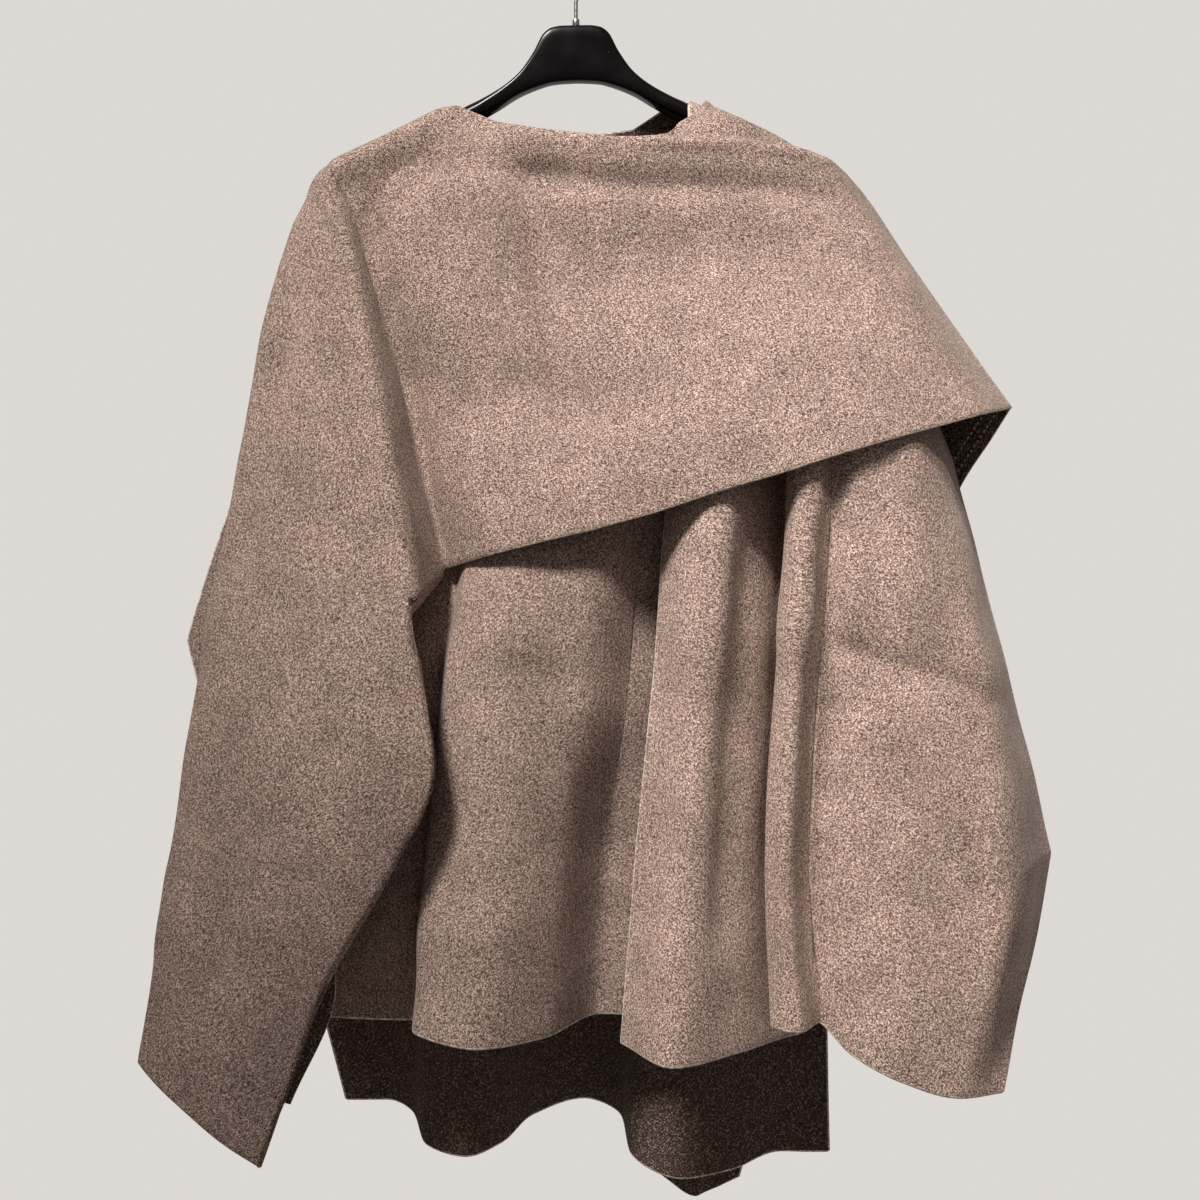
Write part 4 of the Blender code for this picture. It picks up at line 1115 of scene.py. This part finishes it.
def inset(lines, distance):
    """A line on a cloth that far in from its edge: lines run in step from the edge inwards."""
    reach = reach_of(lines)
    return np.array([[np.interp(distance, reach[:, k], lines[:, k, axis]) for axis in range(3)]
                     for k in range(lines.shape[1])])


def stitches(name, edge, outward, look):
    """Rows of small stitches on both faces of a cloth, near an edge; edge has lines from it inwards."""
    points, faces = [], []
    rim = outward[0]
    for distance in STITCH_ROWS:
        for face in (-1, 1):
            line = inset(edge + outward * (WALL if face > 0 else 0.0), distance)
            place, ahead = along_edge(line, STITCH_PITCH)
            shares = np.linspace(0, len(rim) - 1, len(place))
            ups = np.stack([np.interp(shares, np.arange(len(rim)), rim[:, k]) for k in range(3)], axis=1)
            for p, d, up in zip(place, ahead, ups * face):
                side = unit(np.cross(d, up))
                first = len(points)
                for shift, size in STITCH_FORM:
                    middle = p + d * (shift * STITCH_LENGTH / 2)
                    for a in turns(STITCH_SIDES):
                        points.append(middle + side * (math.cos(a) * STITCH_HALF_WIDTH * size)
                                      + up * (math.sin(a) * STITCH_HALF_HEIGHT * size))
                faces += tube_faces(len(STITCH_FORM), STITCH_SIDES, first)
    return solid(name, points, faces, look)


def fibres(name, edges, look):
    """Short loose fibres on raw edges; each edge is a line of points and the way out of the cloth there."""
    chance = np.random.default_rng(SEED)
    points, faces = [], []
    for line, out in edges:
        for _ in range(int(reach_of(line)[-1] * FIBRES_PER_METRE)):
            at = chance.uniform(0, len(line) - 1.001)
            k, t = int(at), at % 1.0
            root = line[k] * (1 - t) + line[k + 1] * t
            ahead = unit(line[k + 1] - line[k])
            way = unit(out[k] + ahead * chance.normal(0, FIBRE_LEAN) + chance.normal(0, FIBRE_SPREAD, 3))
            bend = chance.normal(0, FIBRE_BEND, 3)
            reach = FIBRE_LENGTH * chance.uniform(FIBRE_SHORTEST, 1.0)
            wide = unit(np.cross(way, chance.normal(0, 1, 3))) * FIBRE_WIDTH / 2
            root = root - way * FIBRE_ROOT
            first = len(points)
            for share, size in FIBRE_FORM:
                spot = root + way * reach * share + bend * reach * share * share / 2
                points += [spot + wide * size, spot - wide * size]
            faces += [(n, n + 1, n + 3, n + 2) for n in (first, first + 2)]
    return solid(name, points, faces, look)


def edge_line(points, inward):
    """An edge's own line, and the way out of the cloth along it."""
    return points, unit(points - inward)


def spot_light(name, target, distance, above, left, radius, beam, power):
    """A soft-edged beam towards the target."""
    data = bpy.data.lights.new(name, "SPOT")
    data.shadow_soft_size = radius
    data.spot_size = math.radians(beam)
    data.spot_blend = 1.0
    data.energy = power
    data.color = SPOT_TINT
    thing = link(name, data)
    above, left = math.radians(above), math.radians(left)
    level = math.cos(above)
    way = np.array([level * math.sin(left), level * math.cos(left), -math.sin(above)])
    thing.location = np.array(target) - distance * way
    thing.rotation_euler = (math.pi / 2 - above, 0.0, -left)
    return thing


def surroundings():
    """Pale light from all round, brighter behind the poncho, as from a white curtain."""
    world = bpy.data.worlds.new("studio")
    bpy.context.scene.world = world
    world.use_nodes = True
    tree = world.node_tree
    way = put(tree, "ShaderNodeTexCoord").outputs["Generated"]
    behind = put(tree, "ShaderNodeSeparateXYZ", {0: way}).outputs[1]
    level = between(tree, behind, *BACKDROP_RISE, FILL_LEVEL, BACKDROP_LEVEL)
    shader = tree.nodes["Background"]
    shader.inputs["Color"].default_value = colour(*FILL_TINT)
    tree.links.new(level, shader.inputs["Strength"])


def picture():
    """Camera and light, as for the photo."""
    data = bpy.data.cameras.new("camera")
    data.lens = CAMERA_LENS
    data.sensor_width = CAMERA_SENSOR
    data.clip_start = 0.01
    camera = link("camera", data)
    camera.location = CAMERA_PLACE
    camera.rotation_euler = (math.pi / 2, 0.0, 0.0)
    bpy.context.scene.camera = camera
    for spot in SPOTS:
        spot_light(*spot)
    surroundings()
    bpy.context.scene.view_settings.view_transform = "Standard"


def floor():
    """A pale round floor, well below the hem."""
    rim = [(FLOOR_RADIUS * math.cos(a), FLOOR_RADIUS * math.sin(a), FLOOR_Z) for a in turns(FLOOR_SIDES)]
    return solid("floor", rim, [tuple(range(len(rim)))], floor_look("floor"))


def main():
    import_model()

    inside = inside_look("wool_inside")
    edge = edge_look("wool_edge")

    # Each piece's wool tone is painted light and shade: lighter or darker copies of one wool
    left = panel("left_front_panel", front_lines(LEFT_FRONT), FRONT_PITCH, True, LEFT_FRONT_CREASES, -1,
                 [wool_look("left_front_wool", LEFT_PAINTED_TONE), inside, edge], [len(LEFT_FRONT) - 1])
    right = panel("right_front_panel", front_lines(RIGHT_FRONT), FRONT_PITCH, False, RIGHT_FRONT_CREASES,
                  -1, [wool_look("right_front_wool", RIGHT_PAINTED_TONE), inside, edge], [len(RIGHT_FRONT) - 1])
    back = panel("back", back_lines(), BACK_PITCH, False, BACK_CREASES, 1,
                 [wool_look("back_wool", BACK_PAINTED_TONE), inside, edge], [0, len(BACK) - 1])
    points, quads, places, tail, hanging = scarf_surface()
    scarf = shell("scarf", points, quads, places, [wool_look("scarf_wool", SCARF_PAINTED_TONE), inside, edge])

    outward = normals_of(points, quads)
    sewn_lines = tail[::-1][:STITCH_LINES]
    thread = thread_look("thread", THREAD_SHADES)
    sewn = stitches("scarf_stitches", points[sewn_lines], outward[sewn_lines], thread)
    end = points[hanging]
    free_from = len(end) * FREE_TENTHS // 10
    raw = [edge_line(end[-1], end[-3]), edge_line(end[free_from:, 0], end[free_from:, 2])]
    fuzz = fibres("edge_fibres", raw, thread_look("loose_fibre", FIBRE_SHADES))

    hanger = hanger_body(plastic_look("hanger_plastic"))
    hook = hanger_hook(metal_look("hook_wire", *HOOK_METAL))
    ferrule = hook_ferrule(metal_look("collar_metal", *FERRULE_METAL))

    # Each piece, its slot and the solids it stands for
    pieces = [
        (left, "body_wool", ["left_front"]),
        (right, "body_wool", ["right_front"]),
        (back, "body_wool", ["back_panel"]),
        (scarf, "scarf_wool", ["scarf_chest", "scarf_drape", "scarf_tail"]),
        (hanger, "black_plastic", ["hanger_body"]),
        (hook, "hook_steel", ["hanger_hook"]),
        (ferrule, "ferrule_steel", ["hook_ferrule"]),
        (sewn, "scarf_wool", []),
        (fuzz, "scarf_wool", []),
    ]
    for thing, slot, nodes in pieces:
        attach(thing, "root")
        if nodes:
            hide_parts(*nodes)

    ground = floor()
    picture()


main()
